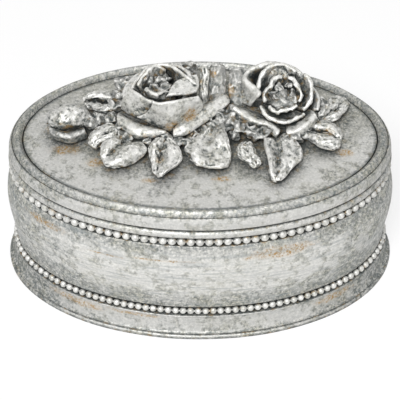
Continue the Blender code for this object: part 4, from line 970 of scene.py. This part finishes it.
def bead_row(inset, height, diameter, count):
    """Return a bmesh of round beads on a thin wire."""
    wire = diameter / 2 * BEAD_WIRE_SHARE
    ring = [(inset + wire * math.cos(math.tau * step / 10),
             height + wire * math.sin(math.tau * step / 10)) for step in range(10)]
    bm = swept(ring, True)
    for angle in evenly_spaced(inset, count):
        centre = Vector(((FOOT_HALF[0] - inset) * math.cos(angle),
                         (FOOT_HALF[1] - inset) * math.sin(angle), height))
        size = 1.0 + 0.03 * noise.noise(centre * 900)
        place = Matrix.Translation(centre) @ Matrix.Scale(size, 4)
        bmesh.ops.create_uvsphere(bm, u_segments=14, v_segments=9, radius=diameter / 2,
                                  matrix=place)
    return bm


def eased(step, count, ease=0.55):
    """Return a share that steps more finely near both ends."""
    even = step / count
    return even + (0.5 - 0.5 * math.cos(math.pi * even) - even) * ease


def pillow(place, cells, thickness, lift=0.0, lumps=1.0, swell=None):
    """Return a bmesh of a curved sheet with round edges and a modelled surface.

    place(across, along) is the sheet, lift is 0 where it is the middle and 1 where it is the
    underside, and swell(across, along) is the share of the thickness.
    """
    shape = bpy.context.scene.keepsake_shape
    across_cells, along_cells = cells
    middle = []
    for i in range(across_cells + 1):
        column = []
        for j in range(along_cells + 1):
            point = place(eased(i, across_cells), eased(j, along_cells))
            column.append(point + wander(point, shape.lump_height * lumps, LUMP_SPAN))
        middle.append(column)
    bm = bmesh.new()
    upper = []
    lower = []
    for i in range(across_cells + 1):
        upper.append([])
        lower.append([])
        for j in range(along_cells + 1):
            point = middle[i][j]
            sideways = middle[min(i + 1, across_cells)][j] - middle[max(i - 1, 0)][j]
            onward = middle[i][min(j + 1, along_cells)] - middle[i][max(j - 1, 0)]
            normal = sideways.cross(onward)
            normal = normal.normalized() if normal.length > 1e-12 else Vector((0.0, 0.0, 1.0))
            edge = min((point - middle[0][j]).length, (point - middle[across_cells][j]).length,
                       (point - middle[i][0]).length, (point - middle[i][along_cells]).length)
            part = min(1.0, edge / (thickness * 0.6))
            amount = thickness * math.sqrt(1 - (1 - part) ** 2)
            if swell:
                amount *= swell(eased(i, across_cells), eased(j, along_cells))
            over = amount * (0.5 + lift / 2) + modelled(point + normal * FACE_OFFSET, lumps) * part
            upper[i].append(bm.verts.new(point + normal * over))
            if part == 0.0:
                lower[i].append(upper[i][j])
            else:
                under = amount * (0.5 - lift / 2) + modelled(point - normal * FACE_OFFSET, lumps) * part
                lower[i].append(bm.verts.new(point - normal * under))
    for i in range(across_cells):
        for j in range(along_cells):
            corners = ((i, j), (i + 1, j), (i + 1, j + 1), (i, j + 1))
            add_face(bm, [upper[a][b] for a, b in corners])
            add_face(bm, [lower[a][b] for a, b in reversed(corners)])
    return bm


def modelled(point, lumps):
    """Return the height of the crumpled and grained surface at a point."""
    shape = bpy.context.scene.keepsake_shape
    crumple = 0.35 - abs(noise.noise(point / CRUMPLE_SPAN))
    fine = 0.25 - abs(noise.noise(point / CREASE_SPAN))
    grain = noise.noise(point / GRAIN_SPAN)
    return lumps * (shape.crumple_height * (crumple + 0.45 * fine) + shape.grain_height * grain)


def add_clump(bm, centre, radius):
    """Add one lump of foliage."""
    made = bmesh.ops.create_uvsphere(bm, u_segments=28, v_segments=18, radius=radius)
    for vert in made["verts"]:
        point = centre + Vector([side * share for side, share in zip(vert.co, CLUMP_SHARES)])
        out = vert.co.normalized()
        vert.co = point + out * modelled(point, CLUMP_LUMPS) + wander(point, *CLUMP_WANDER)
        vert.co.z = max(vert.co.z, FIELD + CLUMP_GAP)


def add_face(bm, verts):
    """Add a face unless it has no area left."""
    kept = list(dict.fromkeys(verts))
    if len(kept) > 2:
        bm.faces.new(kept)


def through_three(values, share):
    """Return the value at a share along a curve through three values."""
    start, middle, end = values
    low = start + (middle - start) * 2 * share
    high = middle + (end - middle) * (2 * share - 1)
    return low + (high - low) * share


def through_points(points, share):
    """Return the point at a share along a smooth curve through points."""
    spans = len(points) - 1
    place = min(share, 0.99999) * spans
    index = int(place)
    part = place - index
    before = points[max(index - 1, 0)]
    start = points[index]
    end = points[index + 1]
    after = points[min(index + 2, spans)]
    bend = before * 2 - start * 5 + end * 4 - after
    turn = start * 3 - before - end * 3 + after
    return (start * 2 + (end - before) * part + bend * part ** 2 + turn * part ** 3) / 2


def shaped_place(rows, rest=0.0):
    """Return the function that lays a sheet out through rows of places in millimetres."""
    grid = [[Vector(point) / 1000 for point in row] for row in rows]

    def place(across, along):
        point = through_points([through_points(row, along) for row in grid], across)
        point.z = max(point.z, rest)
        return point

    return place


def shaped_sheets(thickness, lumps, *tables):
    """Return a bmesh of one or more sheets laid out through tables of places."""
    whole = bmesh.new()
    for rows in tables:
        cells = (10 * (len(rows) - 1), 9 * (len(rows[0]) - 1))
        sheet = pillow(shaped_place(rows), cells, thickness, lumps=lumps)
        part = bpy.data.meshes.new("part")
        sheet.to_mesh(part)
        sheet.free()
        whole.from_mesh(part)
        bpy.data.meshes.remove(part)
    return whole


def smooth(value):
    """Return a soft step from 0 to 1."""
    value = min(1.0, max(0.0, value))
    return value * value * (3 - 2 * value)


def petal_place(spec, rose, root, roundness, matrix, roll, ruffle, crest=0.0):
    """Return the function that lays a sheet out as one petal of a rose."""
    start, end, lip_radius, lip_height = spec
    radius, depth = rose
    root_radius, root_height = root
    side = PETAL_SIDE_GAP / radius
    first = math.radians(start) + side
    last = math.radians(end) - side

    def place(across, along):
        angle = first + (last - first) * across
        outward = through_three(lip_radius, across) * radius - root_radius
        upward = through_three(lip_height, across) * depth - root_height
        corner = 1.0 - 0.10 * abs(2 * across - 1) ** 4
        climb = along * corner
        quarter = math.radians(90) * climb
        reach = root_radius + outward * (roundness * math.sin(quarter) + (1 - roundness) * climb)
        rise = root_height + upward * (roundness * (1 - math.cos(quarter))
                                       + (1 - roundness) * climb)
        lip = max(0.0, (along - 0.75) / 0.25)
        wave = math.sin(3.4 * angle + start) * along * along
        reach += roll * lip * lip + ruffle * wave
        rise += crest * math.sin(math.pi * smooth((along - 0.30) / 0.70) ** 1.2)
        rise -= roll * 0.35 * lip * lip * lip
        return matrix @ Vector((reach * math.cos(angle), reach * math.sin(angle), rise))

    return place


def lip_swell(across, along):
    """Return the thickness share of a petal, fuller at its lip."""
    return 0.85 + 0.4 * smooth((along - 0.6) / 0.3)


def add_petals(flower, row, rose, root, roundness, matrix, roll, ruffle, crest=0.0, lumps=1.2,
               thin=1.0):
    """Add one row of petals."""
    shape = bpy.context.scene.keepsake_shape
    for label, *spec in row:
        node = f"{flower}_{label}"
        if node in SHAPED_PETALS:
            bm = shaped_sheets(shape.petal_thickness, 1.0, *SHAPED_PETALS[node])
            add_piece(f"{node}_petal", bm, "lid", "silver_petals", "leafed_petals", node)
            continue
        place = petal_place(spec, rose, root, roundness, matrix, roll, ruffle, crest)
        cells = (max(14, round((spec[1] - spec[0]) / 4)), 22)
        add_piece(f"{node}_petal", pillow(place, cells, shape.petal_thickness * thin,
                                           lumps=lumps, swell=lip_swell),
                  "lid", "silver_petals", "leafed_petals", node)


def add_heart(node, depth, radius, matrix, lumps):
    """Add the crumpled heart of a rose: lumps given by angle, distance and size."""
    bm = bmesh.new()
    for angle, distance, size, rise in lumps:
        turn = math.radians(angle)
        centre = Vector((radius * distance * math.cos(turn), radius * distance * math.sin(turn),
                         depth * rise))
        add_clump(bm, matrix @ centre, radius * size)
    # The heart takes the mound's darker copy of the leaf: painted shade deep in the rose.
    add_piece(f"{node}_folds", bm, "lid", "silver_petals", "leafed_mound", node)


def leaf_outline(along):
    """Return a leaf's width at a share of its length, as a share of its full width."""
    stalk = LEAF_STALK / LEAF_WIDTH
    blade = math.sin(math.pi * along ** 1.15) if along < 1 else 0.0
    return max(blade, stalk + (0.03 - stalk) * along)


def add_shaped_leaf(name, rows):
    """Add one crumpled leaf of the front or the sides."""
    place = shaped_place(rows, FIELD + SHAPED_LEAF_GAP)
    bm = pillow(place, SHAPED_LEAF_CELLS, SHAPED_LEAF_THICKNESS, lumps=SHAPED_LEAF_LUMPS)
    add_piece(f"{name}_blade", bm, "lid", "silver_leaves", "leafed_leaves", name)


def add_leaf(spec):
    """Add one leaf of the back, which grows out of the mound's edge and lies on the lid."""
    name, start_deg, heading_deg, length_share, width_share, arch_share, fold_share = spec
    shape = bpy.context.scene.keepsake_shape
    turn = math.radians(start_deg)
    heading = math.radians(heading_deg)
    direction = Vector((math.cos(heading), math.sin(heading), 0.0))
    side = Vector((direction.y, -direction.x, 0.0))
    start = Vector((MOUND_CENTRE[0] + MOUND_HALF[0] * math.cos(turn),
                    MOUND_CENTRE[1] + MOUND_HALF[1] * math.sin(turn), 0.0))
    start += direction * LEAF_START
    length = LEAF_LENGTH * length_share - LEAF_STALK
    width = LEAF_WIDTH * width_share

    def place(across, along):
        sideways = 2 * across - 1
        scallop = 1 + 0.07 * math.sin(along * 21 + sideways * 2 + start_deg) * along ** 0.5
        point = (start + direction * (length * along)
                 + side * (sideways * width / 2 * leaf_outline(along) * scallop))
        share = 0.12 + 0.88 * along
        dip = LEAF_FOLD * fold_share * (abs(sideways) - 0.5) * math.sin(math.pi * along)
        crease = -0.0006 * math.exp(-(sideways / 0.18) ** 2) * math.sin(math.pi * along)
        veins = 0.0002 * math.sin(along * 34 - abs(sideways) * 7) * (1 - sideways * sideways)
        lift = LEAF_ARCH * arch_share * math.sin(math.pi * share) + dip + crease + veins
        point.z = LEAF_REST + max(0.0, lift)
        return point

    add_piece(f"{name}_blade", pillow(place, (28, 44), shape.leaf_thickness, lift=1.0,
                                      lumps=0.8),
              "lid", "silver_leaves", "leafed_leaves", name)


def add_upright(spec):
    """Add one tall petal that stands between the roses and leans back."""
    name, x_share, start_share, height_share, width_share, lean_share = spec
    shape = bpy.context.scene.keepsake_shape
    centre = MOUND_CENTRE[0] + UPRIGHT_SPACING * x_share
    width = UPRIGHT_WIDTH * width_share
    rest = SEAT_REST + shape.petal_thickness / 2

    def place(across, along):
        side = 2 * across - 1
        taper = 0.8 + 0.2 * math.sin(math.pi * along)
        corner = 1.0 - 0.10 * abs(side) ** 4
        climb = along * corner
        back = UPRIGHT_LEAN * lean_share * climb + UPRIGHT_BULGE * width_share * side * side
        lip = max(0.0, (along - 0.8) / 0.2)
        return Vector((centre + side * width / 2 * taper,
                       UPRIGHT_START * start_share + back - 0.0006 * lip * lip,
                       rest + UPRIGHT_HEIGHT * height_share * climb ** 0.8))

    # Every upright but the rib takes the darker copy of the leaf: painted shade between the roses.
    finish = "leafed_petals" if name == "upright_petal_rib" else "leafed_uprights"
    add_piece(f"{name}_blade", pillow(place, (22, 44), shape.petal_thickness, lumps=1.5,
                                      swell=lip_swell),
              "lid", "silver_petals", finish, name)


def add_bud_body():
    """Add the closed bud: petals wrapped round each other into a blunt point."""
    turn = Matrix.Rotation(math.radians(BUD_TURN_DEG), 4, "Z")
    base = Matrix.Translation(BUD_CENTRE) @ turn
    bm = bmesh.new()
    bmesh.ops.create_uvsphere(bm, u_segments=56, v_segments=36, radius=BUD_DIAMETER / 2)
    for vert in bm.verts:
        along = vert.co.z / (BUD_DIAMETER / 2)
        angle = math.atan2(vert.co.y, vert.co.x)
        taper = 1 - 0.22 * max(0.0, along) ** 2
        wrap = (angle * 1.5 / math.pi + along * 0.9) % 1.0
        ledge = 0.00045 * (smooth(wrap / 0.12) - 1.0) * (1 - along * along)
        radius = taper + ledge / (BUD_DIAMETER / 2)
        point = Vector((vert.co.z * BUD_LENGTH / BUD_DIAMETER, vert.co.x * radius,
                        vert.co.y * radius))
        out = (point / (BUD_DIAMETER / 2)).normalized()
        point += out * (modelled(base @ point, 2.2) - 0.0001) + wander(base @ point, 0.0003, 0.003)
        vert.co = base @ point
    add_piece("rose_bud_wrapped", bm, "lid", "silver_petals", "leafed_petals", "rose_bud")


def add_back_sepal():
    """Add the narrow leaf that hugs the bud from behind."""
    shape = bpy.context.scene.keepsake_shape

    def place(across, along):
        turn = math.radians(SEPAL_BEND_DEG) * (along - 0.5)
        swell = math.sin(math.pi * along) if 0 < along < 1 else 0.0
        width = SEPAL_WIDTH * max(0.05, swell ** 0.7)
        outward = 0.25 + 0.75 * across
        bow = (SEPAL_REACH + width * outward) * math.cos(turn)
        return Vector((BUD_CENTRE.x + BUD_LENGTH * 0.62 * math.sin(turn), BUD_CENTRE.y + bow,
                       LEAF_REST + LEAF_ARCH * (1 - across) * swell))

    add_piece("bud_sepal_back_blade", pillow(place, (14, 36), shape.leaf_thickness, lift=1.0,
                                             lumps=0.7),
              "lid", "silver_leaves", "leafed_leaves", "bud_sepal_back")


def add_stem():
    """Add the short stem from the bud to the leaves."""
    turn = math.radians(BUD_TURN_DEG)
    tip = BUD_LENGTH / 2 + STEM_DIAMETER / 2
    start = BUD_CENTRE + Vector((tip * math.cos(turn), tip * math.sin(turn), 0.0))
    end = Vector((start.x + STEM_RUN[0], start.y + STEM_RUN[1], LEAF_REST + STEM_DIAMETER / 2))
    heading = (end - start).normalized()
    side = Vector((-heading.y, heading.x, 0.0)).normalized()
    bm = bmesh.new()
    rows = []
    for step in range(17):
        share = step / 16
        point = start.lerp(end, share)
        point.z = end.z + (start.z - end.z) * (1 - share) ** 2
        radius = STEM_DIAMETER / 2 * (1 + 0.10 * math.sin(share * 9))
        row = []
        for spoke in range(16):
            angle = math.tau * spoke / 16
            offset = side * math.cos(angle) + Vector((0.0, 0.0, 1.0)) * math.sin(angle)
            row.append(bm.verts.new(point + offset * radius + wander(point, 0.0001, 0.002)))
        rows.append(row)
    for row, following in zip(rows, rows[1:]):
        for spoke in range(16):
            after = (spoke + 1) % 16
            bm.faces.new((row[spoke], following[spoke], following[after], row[after]))
    bm.faces.new(rows[0])
    bm.faces.new(rows[-1])
    add_piece("bud_stem_twig", bm, "lid", "silver_leaves", "leafed_leaves", "bud_stem")


def belly_point(share):
    """Return the belly's outer (inset, height) at a share of its height."""
    swell = math.sin(math.pi * share ** 1.5)
    return (BELLY_INSET - BELLY_BULGE * swell, BELLY_BOTTOM + BELLY_HEIGHT * share)


def foot_section():
    """Return the flared foot's section."""
    flare = []
    for step in range(13):
        turn = math.radians(90) * step / 12
        flare.append((FOOT_STEP + (FOOT_DRAW - FOOT_STEP) * math.sin(turn),
                      FOOT_LIP + FOOT_FLARE * (1 - math.cos(turn))))
    groove_inset, groove_rise = FOOT_GROOVE
    return softened([*FOOT_EDGE, *flare,
                     (FOOT_DRAW + groove_inset, FOOT_LIP + FOOT_FLARE + groove_rise),
                     (FOOT_LEDGE_INSET, FOOT_LIP + FOOT_FLARE + FOOT_LEDGE_RISE),
                     (FOOT_LEDGE_INSET, FOOT_TOP),
                     (FOOT_WIDTH, FOOT_TOP), (FOOT_WIDTH, 0.0)], EDGE_SOFTNESS, True)


def shell_section():
    """Return the bowl's section, from the middle of its underside to its inside floor."""
    belly = [belly_point(step / BELLY_ROWS) for step in range(BELLY_ROWS + 1)]
    top = BELLY_BOTTOM + BELLY_HEIGHT
    inside = []
    for share in INSIDE_SHARES:
        inset, height = belly_point(share)
        inside.append((inset + WALL, height))
    return softened([(FLOOR_INSET, SHELL_BOTTOM), (SHELL_INSET, SHELL_BOTTOM),
                     (SHELL_INSET, FOOT_TOP + SHELL_GAP), (LOWER_CHANNEL, FOOT_TOP + SHELL_GAP),
                     (LOWER_CHANNEL, BELLY_BOTTOM), *belly, (UPPER_CHANNEL, top),
                     (UPPER_CHANNEL, WALL_TOP), (MOUTH_INSET, WALL_TOP), (MOUTH_INSET, top),
                     *inside, (SHELL_INSET + WALL, FOOT_TOP), (SHELL_INSET + WALL, INSIDE_FLOOR),
                     (FLOOR_INSET, INSIDE_FLOOR)], EDGE_SOFTNESS, False)


def rim_section():
    """Return the section of the half-round rim that the lid stands on."""
    middle = (RIM_BOTTOM + RIM_TOP) / 2
    nose = []
    for step in range(13):
        turn = math.radians(-90 + 15 * step)
        nose.append((RIM_INSET + RIM_ROUND * (1 - math.cos(turn)),
                     middle + (RIM_TOP - RIM_BOTTOM) / 2 * math.sin(turn)))
    return softened(nose + [(MOUTH_INSET, RIM_TOP), (MOUTH_INSET, RIM_BOTTOM)],
                    EDGE_SOFTNESS, True)


def lid_section():
    """Return the section of the lid's edge: side band, groove, ridge and panel ledge."""
    band = [(BAND_INSET + inset, LID_BOTTOM + rise) for inset, rise in BAND_EDGE]
    band += [(BAND_INSET + BAND_LEAN * (step / 10) ** 3, LID_BOTTOM + BAND_HEIGHT * step / 10)
             for step in range(2, 11)]
    ridge = [(RIDGE_INSET + RIDGE_WIDTH * share / 20,
              SHOULDER + RIDGE_HEIGHT * math.sin(math.pi * share / 20)) for share in range(2, 20)]
    groove_inset, groove_depth = RIDGE_GROOVE
    return softened([*band, (RIDGE_INSET - groove_inset, SHOULDER - groove_depth),
                     (RIDGE_INSET, SHOULDER),
                     *ridge, (SEAT_INSET, FIELD - 0.0001),
                     (SEAT_INSET, LID_BOTTOM + LEDGE_HEIGHT),
                     (OPENING_INSET, LID_BOTTOM + LEDGE_HEIGHT), (OPENING_INSET, LID_BOTTOM)],
                    EDGE_SOFTNESS, True)


def panel_section():
    """Return the field's section: a thin plate with rings of points on both faces."""
    return [*((inset, PANEL_BOTTOM) for inset in reversed(PANEL_RINGS)), (PANEL_INSET, PANEL_BOTTOM),
            (PANEL_INSET, FIELD - 0.0002), (PANEL_INSET + 0.0001, FIELD),
            *((inset, FIELD) for inset in PANEL_RINGS)]


def locating_section():
    """Return the section of the ring under the lid."""
    bottom = RIM_TOP - LOCATING_DEPTH
    inner = LOCATING_INSET + LOCATING_WIDTH
    return softened([(LOCATING_INSET + LOCATING_CHAMFER, bottom),
                     (LOCATING_INSET, bottom + LOCATING_CHAMFER), (LOCATING_INSET, RIM_TOP),
                     (inner, RIM_TOP), (inner, bottom)], EDGE_SOFTNESS / 2, True)


def add_felt(name, node, body, spec):
    """Add one oval of felt."""
    inset, bottom = spec
    top = bottom + FELT_THICKNESS
    rings = [inset + 0.0002 + 0.003 * step for step in range(10)]
    profile = [*((ring, bottom) for ring in reversed(rings)), (inset, bottom + 0.0002),
               (inset, top - 0.0002), *((ring, top) for ring in rings)]
    bm = swept(profile, False, wave=(0.00004, 0.0015))
    felt = add_piece(name, bm, body, "black_felt", "black_felt", node)


class KEEPSAKE_OT_add_base(bpy.types.Operator):
    """Add the foot, the belly and the rim of the box."""

    bl_idname = "keepsake.add_base"
    bl_label = "Add Base"

    def execute(self, context):
        add_piece("foot_moulding", swept(foot_section(), True), "base", "silver_moulding",
                  "leafed_foot", "foot_ring")
        add_piece("belly_bowl", swept(shell_section(), False), "base", "silver_moulding",
                  "leafed_belly", "base_shell")
        add_piece("mouth_rim", swept(rim_section(), True), "base", "silver_moulding",
                  "leafed_lid_edge", "base_rim")
        return {"FINISHED"}


class KEEPSAKE_OT_add_beads(bpy.types.Operator):
    """Add the two rows of beads."""

    bl_idname = "keepsake.add_beads"
    bl_label = "Add Beads"

    def execute(self, context):
        for name, spec in (("lower_bead", LOWER_BEADS), ("upper_bead", UPPER_BEADS)):
            add_piece(f"{name}_string", bead_row(*spec), "base", "silver_beads",
                      "leafed_beads", f"{name}_row")
        return {"FINISHED"}


class KEEPSAKE_OT_add_lid(bpy.types.Operator):
    """Add the lid's edge, its field and its locating ring."""

    bl_idname = "keepsake.add_lid"
    bl_label = "Add Lid"

    def execute(self, context):
        add_piece("lid_edge", swept(lid_section(), True), "lid", "silver_moulding",
                  "leafed_lid_edge", "lid_rim")
        add_piece("lid_field", swept(panel_section(), False), "lid", "silver_field",
                  "leafed_field", "lid_panel")
        add_piece("lid_locator", swept(locating_section(), True), "lid", "silver_moulding",
                  "leafed_lid_edge", "lid_locating_ring")
        return {"FINISHED"}


class KEEPSAKE_OT_add_linings(bpy.types.Operator):
    """Add the felt under the foot, in the box and under the lid."""

    bl_idname = "keepsake.add_linings"
    bl_label = "Add Felt Linings"

    def execute(self, context):
        add_felt("felt_under_foot", "foot_felt", "base", FOOT_FELT)
        add_felt("felt_in_box", "floor_lining", "base", FLOOR_FELT)
        add_felt("felt_under_lid", "lid_lining", "lid", LID_FELT)
        return {"FINISHED"}


class KEEPSAKE_OT_add_mound(bpy.types.Operator):
    """Add the mound and the seats under the flowers."""

    bl_idname = "keepsake.add_mound"
    bl_label = "Add Mound"

    def execute(self, context):
        top = [(MOUND_DRAW + MOUND_RING_STEP * step, MOUND_TOP) for step in range(8)]
        profile = [(MOUND_UNDER, MOUND_BOTTOM), (0.0, MOUND_BOTTOM),
                   (MOUND_SLOPE, (MOUND_BOTTOM + MOUND_TOP) / 2), *top]
        bm = swept(softened(profile, MOUND_SOFTNESS, False), False, MOUND_HALF, MOUND_CENTRE,
                   MOUND_WANDER, MOUND_SEGMENTS)
        for *reading, radius in CLUMPS:
            add_clump(bm, Vector(picked(*reading)) / 1000, radius / 1000)
        # The mound and the rose seats below take the darker copy of the leaf: dark patina and painted
        # shade.
        add_piece("flower_mound", bm, "lid", "silver_leaves", "leafed_mound", "sprig_mound")
        for node, centre, radius, height, boss_radius, boss_height in ROSE_SEATS:
            step = SEAT_REST + height
            profile = [(SEAT_UNDER, SEAT_REST), (SEAT_SLOPE, SEAT_REST + height / 2), (0.0, step),
                       (radius - boss_radius, step),
                       (radius - boss_radius, step + boss_height)]
            bm = swept(softened(profile, SEAT_SOFTNESS, False), False, (radius, radius), centre,
                       SEAT_WANDER, SEAT_SEGMENTS)
            add_piece(f"{node}_cushion", bm, "lid", "silver_petals", "leafed_mound", node)
        return {"FINISHED"}


class KEEPSAKE_OT_add_left_rose(bpy.types.Operator):
    """Add the open rose at the left."""

    bl_idname = "keepsake.add_left_rose"
    bl_label = "Add Left Rose"

    def execute(self, context):
        radius, depth, outer_root, cup_root, first = LEFT_ROSE
        size = (radius, depth)
        add_petals("left_rose_outer", LEFT_OUTER, size, (outer_root, first), 0.35, LEFT_STEP,
                   roll=0.0004, ruffle=0.0002, crest=0.0012)
        add_petals("left_rose_cup", LEFT_CUP, size, (cup_root, first), 1.0, LEFT_BOSS,
                   roll=0.0006, ruffle=0.0003)
        add_petals("left_rose_inner", LEFT_INNER, size, (cup_root, first + PETAL_ROW_STEP), 1.0,
                   LEFT_BOSS, roll=0.0004, ruffle=0.0007, lumps=2.6, thin=0.8)
        add_heart("left_rose_heart", depth, radius, LEFT_BOSS, LEFT_HEART)
        return {"FINISHED"}


class KEEPSAKE_OT_add_right_rose(bpy.types.Operator):
    """Add the rose at the right, which faces the front."""

    bl_idname = "keepsake.add_right_rose"
    bl_label = "Add Right Rose"

    def execute(self, context):
        radius, depth, outer_root, cup_root, first = RIGHT_ROSE
        size = (radius, depth)
        add_petals("right_rose_outer", RIGHT_OUTER, size, (outer_root, first), 0.35, RIGHT_STEP,
                   roll=0.0004, ruffle=0.0002, crest=0.0006)
        add_petals("right_rose_cup", RIGHT_CUP, size, (cup_root, 0.0), 1.0, RIGHT_BOSS,
                   roll=0.0004, ruffle=0.0006, lumps=2.2, thin=0.8)
        add_petals("right_rose_inner", RIGHT_INNER, size, (cup_root, PETAL_ROW_STEP), 1.0,
                   RIGHT_BOSS, roll=0.0003, ruffle=0.0007, lumps=2.8, thin=0.75)
        add_heart("right_rose_heart", depth, radius, RIGHT_BOSS, RIGHT_HEART)
        return {"FINISHED"}


class KEEPSAKE_OT_add_uprights(bpy.types.Operator):
    """Add the tall petals between the roses."""

    bl_idname = "keepsake.add_uprights"
    bl_label = "Add Upright Petals"

    def execute(self, context):
        for spec in UPRIGHTS:
            add_upright(spec)
        return {"FINISHED"}


class KEEPSAKE_OT_add_leaves(bpy.types.Operator):
    """Add the leaves round the mound."""

    bl_idname = "keepsake.add_leaves"
    bl_label = "Add Leaves"

    def execute(self, context):
        for name, rows in SHAPED_LEAVES.items():
            add_shaped_leaf(name, rows)
        for spec in LEAVES:
            add_leaf(spec)
        return {"FINISHED"}


class KEEPSAKE_OT_add_bud(bpy.types.Operator):
    """Add the bud with its sepals and stem."""

    bl_idname = "keepsake.add_bud"
    bl_label = "Add Bud"

    def execute(self, context):
        add_bud_body()
        # The front sepal takes the mound's darker copy of the leaf, with its painted shade.
        bm = shaped_sheets(SEPAL_THICKNESS, 1.0, FRONT_SEPAL)
        add_piece("bud_sepal_front_blade", bm, "lid", "silver_leaves", "leafed_mound",
                  "bud_sepal_front")
        add_back_sepal()
        add_stem()
        return {"FINISHED"}


def add_lamp(name, place, size, power):
    """Add one soft lamp that faces the box."""
    data = bpy.data.lights.new(name, "AREA")
    data.shape = "DISK"
    data.size = size
    data.energy = power
    lamp = bpy.data.objects.new(name, data)
    lamp.location = place
    lamp.rotation_euler = (Vector(LAMP_TARGET) - Vector(place)).to_track_quat("-Z", "Y").to_euler()
    bpy.context.scene.collection.objects.link(lamp)


def seen_directly(paint):
    """Return 1 for rays that show the background: straight, mirrored or through glass."""
    camera = paint.node("ShaderNodeLightPath", None, None, "Is Camera Ray")
    glossy = paint.node("ShaderNodeLightPath", None, None, "Is Glossy Ray")
    through = paint.node("ShaderNodeLightPath", None, None, "Is Transmission Ray")
    return (camera + glossy + through).clamped()


class KEEPSAKE_OT_add_stage(bpy.types.Operator):
    """Add the floor, the lamps, the sky and the camera."""

    bl_idname = "keepsake.add_stage"
    bl_label = "Add Stage"

    def execute(self, context):
        studio = context.scene.keepsake_studio
        bm = bmesh.new()
        bmesh.ops.create_grid(bm, x_segments=8, y_segments=8, size=FLOOR_HALF)
        mesh = bpy.data.meshes.new("studio_floor")
        bm.to_mesh(mesh)
        bm.free()
        material = bpy.data.materials.new("pale_floor")
        material.use_nodes = True
        paint = Paint(material.node_tree)
        colour = rgba(studio.floor_colour)
        plain = paint.node("ShaderNodeBsdfDiffuse", None, {"Color": colour})
        dim = paint.node("ShaderNodeBsdfDiffuse", None, {"Color": rgba(studio.floor_colour, 0.3)})
        glow = paint.node("ShaderNodeEmission", None, {"Color": (1.0, 1.0, 1.0, 1.0),
                                                       "Strength": 0.76})
        white = paint.node("ShaderNodeAddShader", None, {0: dim, 1: glow})
        surface = paint.node("ShaderNodeMixShader", None,
                             {0: seen_directly(paint), 1: plain, 2: white})
        paint.node("ShaderNodeOutputMaterial", None, {"Surface": surface})
        mesh.materials.append(material)
        floor = bpy.data.objects.new("studio_floor", mesh)
        context.scene.collection.objects.link(floor)
        world = bpy.data.worlds.new("studio_sky")
        context.scene.world = world
        world.use_nodes = True
        sky = Paint(world.node_tree)
        level = studio.sky_level + (1.0 - studio.sky_level) * seen_directly(sky)
        light = sky.node("ShaderNodeBackground", None,
                         {"Color": (1.0, 1.0, 1.0, 1.0), "Strength": level})
        sky.node("ShaderNodeOutputWorld", None, {"Surface": light})
        add_lamp("key_lamp", *KEY_LAMP, studio.key_power)
        add_lamp("fill_lamp", *FILL_LAMP, studio.fill_power)
        camera = bpy.data.objects.new("camera", bpy.data.cameras.new("camera"))
        camera.data.lens = CAMERA_LENS
        camera.data.sensor_width = CAMERA_SENSOR
        camera.location = CAMERA_PLACE
        camera.rotation_euler = (math.radians(CAMERA_PITCH_DEG), 0.0, 0.0)
        context.scene.collection.objects.link(camera)
        context.scene.camera = camera
        context.scene.view_settings.view_transform = "Standard"
        return {"FINISHED"}


class KEEPSAKE_PT_panel(bpy.types.Panel):
    """Shows the box's settings and the buttons of the steps that add its pieces."""

    bl_idname = "KEEPSAKE_PT_panel"
    bl_label = "Keepsake Box"
    bl_space_type = "VIEW_3D"
    bl_region_type = "UI"
    bl_category = "Keepsake Box"

    def draw(self, context):
        for group in (context.scene.keepsake_shape, context.scene.keepsake_finish,
                      context.scene.keepsake_studio):
            box = self.layout.box()
            for name in group.__annotations__:
                box.prop(group, name)
        for operator in STEPS:
            self.layout.operator(operator.bl_idname)


STEPS = (
    KEEPSAKE_OT_add_base,
    KEEPSAKE_OT_add_beads,
    KEEPSAKE_OT_add_lid,
    KEEPSAKE_OT_add_linings,
    KEEPSAKE_OT_add_mound,
    KEEPSAKE_OT_add_left_rose,
    KEEPSAKE_OT_add_right_rose,
    KEEPSAKE_OT_add_uprights,
    KEEPSAKE_OT_add_leaves,
    KEEPSAKE_OT_add_bud,
    KEEPSAKE_OT_add_stage,
)
GROUPS = (KeepsakeShape, KeepsakeFinish, KeepsakeStudio)


def register():
    """Register the settings, the steps and the panel."""
    for item in (*GROUPS, *STEPS, KEEPSAKE_PT_panel):
        bpy.utils.register_class(item)
    bpy.types.Scene.keepsake_shape = bpy.props.PointerProperty(type=KeepsakeShape)
    bpy.types.Scene.keepsake_finish = bpy.props.PointerProperty(type=KeepsakeFinish)
    bpy.types.Scene.keepsake_studio = bpy.props.PointerProperty(type=KeepsakeStudio)


def unregister():
    """Take the settings, the steps and the panel out again."""
    del bpy.types.Scene.keepsake_studio
    del bpy.types.Scene.keepsake_finish
    del bpy.types.Scene.keepsake_shape
    for item in reversed((*GROUPS, *STEPS, KEEPSAKE_PT_panel)):
        bpy.utils.unregister_class(item)


def main():
    """Register everything and add every piece in order."""
    noise.seed_set(NOISE_SEED)
    register()
    bpy.ops.keepsake.add_base()
    bpy.ops.keepsake.add_beads()
    bpy.ops.keepsake.add_lid()
    bpy.ops.keepsake.add_linings()
    bpy.ops.keepsake.add_mound()
    bpy.ops.keepsake.add_left_rose()
    bpy.ops.keepsake.add_right_rose()
    bpy.ops.keepsake.add_uprights()
    bpy.ops.keepsake.add_leaves()
    bpy.ops.keepsake.add_bud()
    bpy.ops.keepsake.add_stage()


if __name__ == "__main__":
    main()
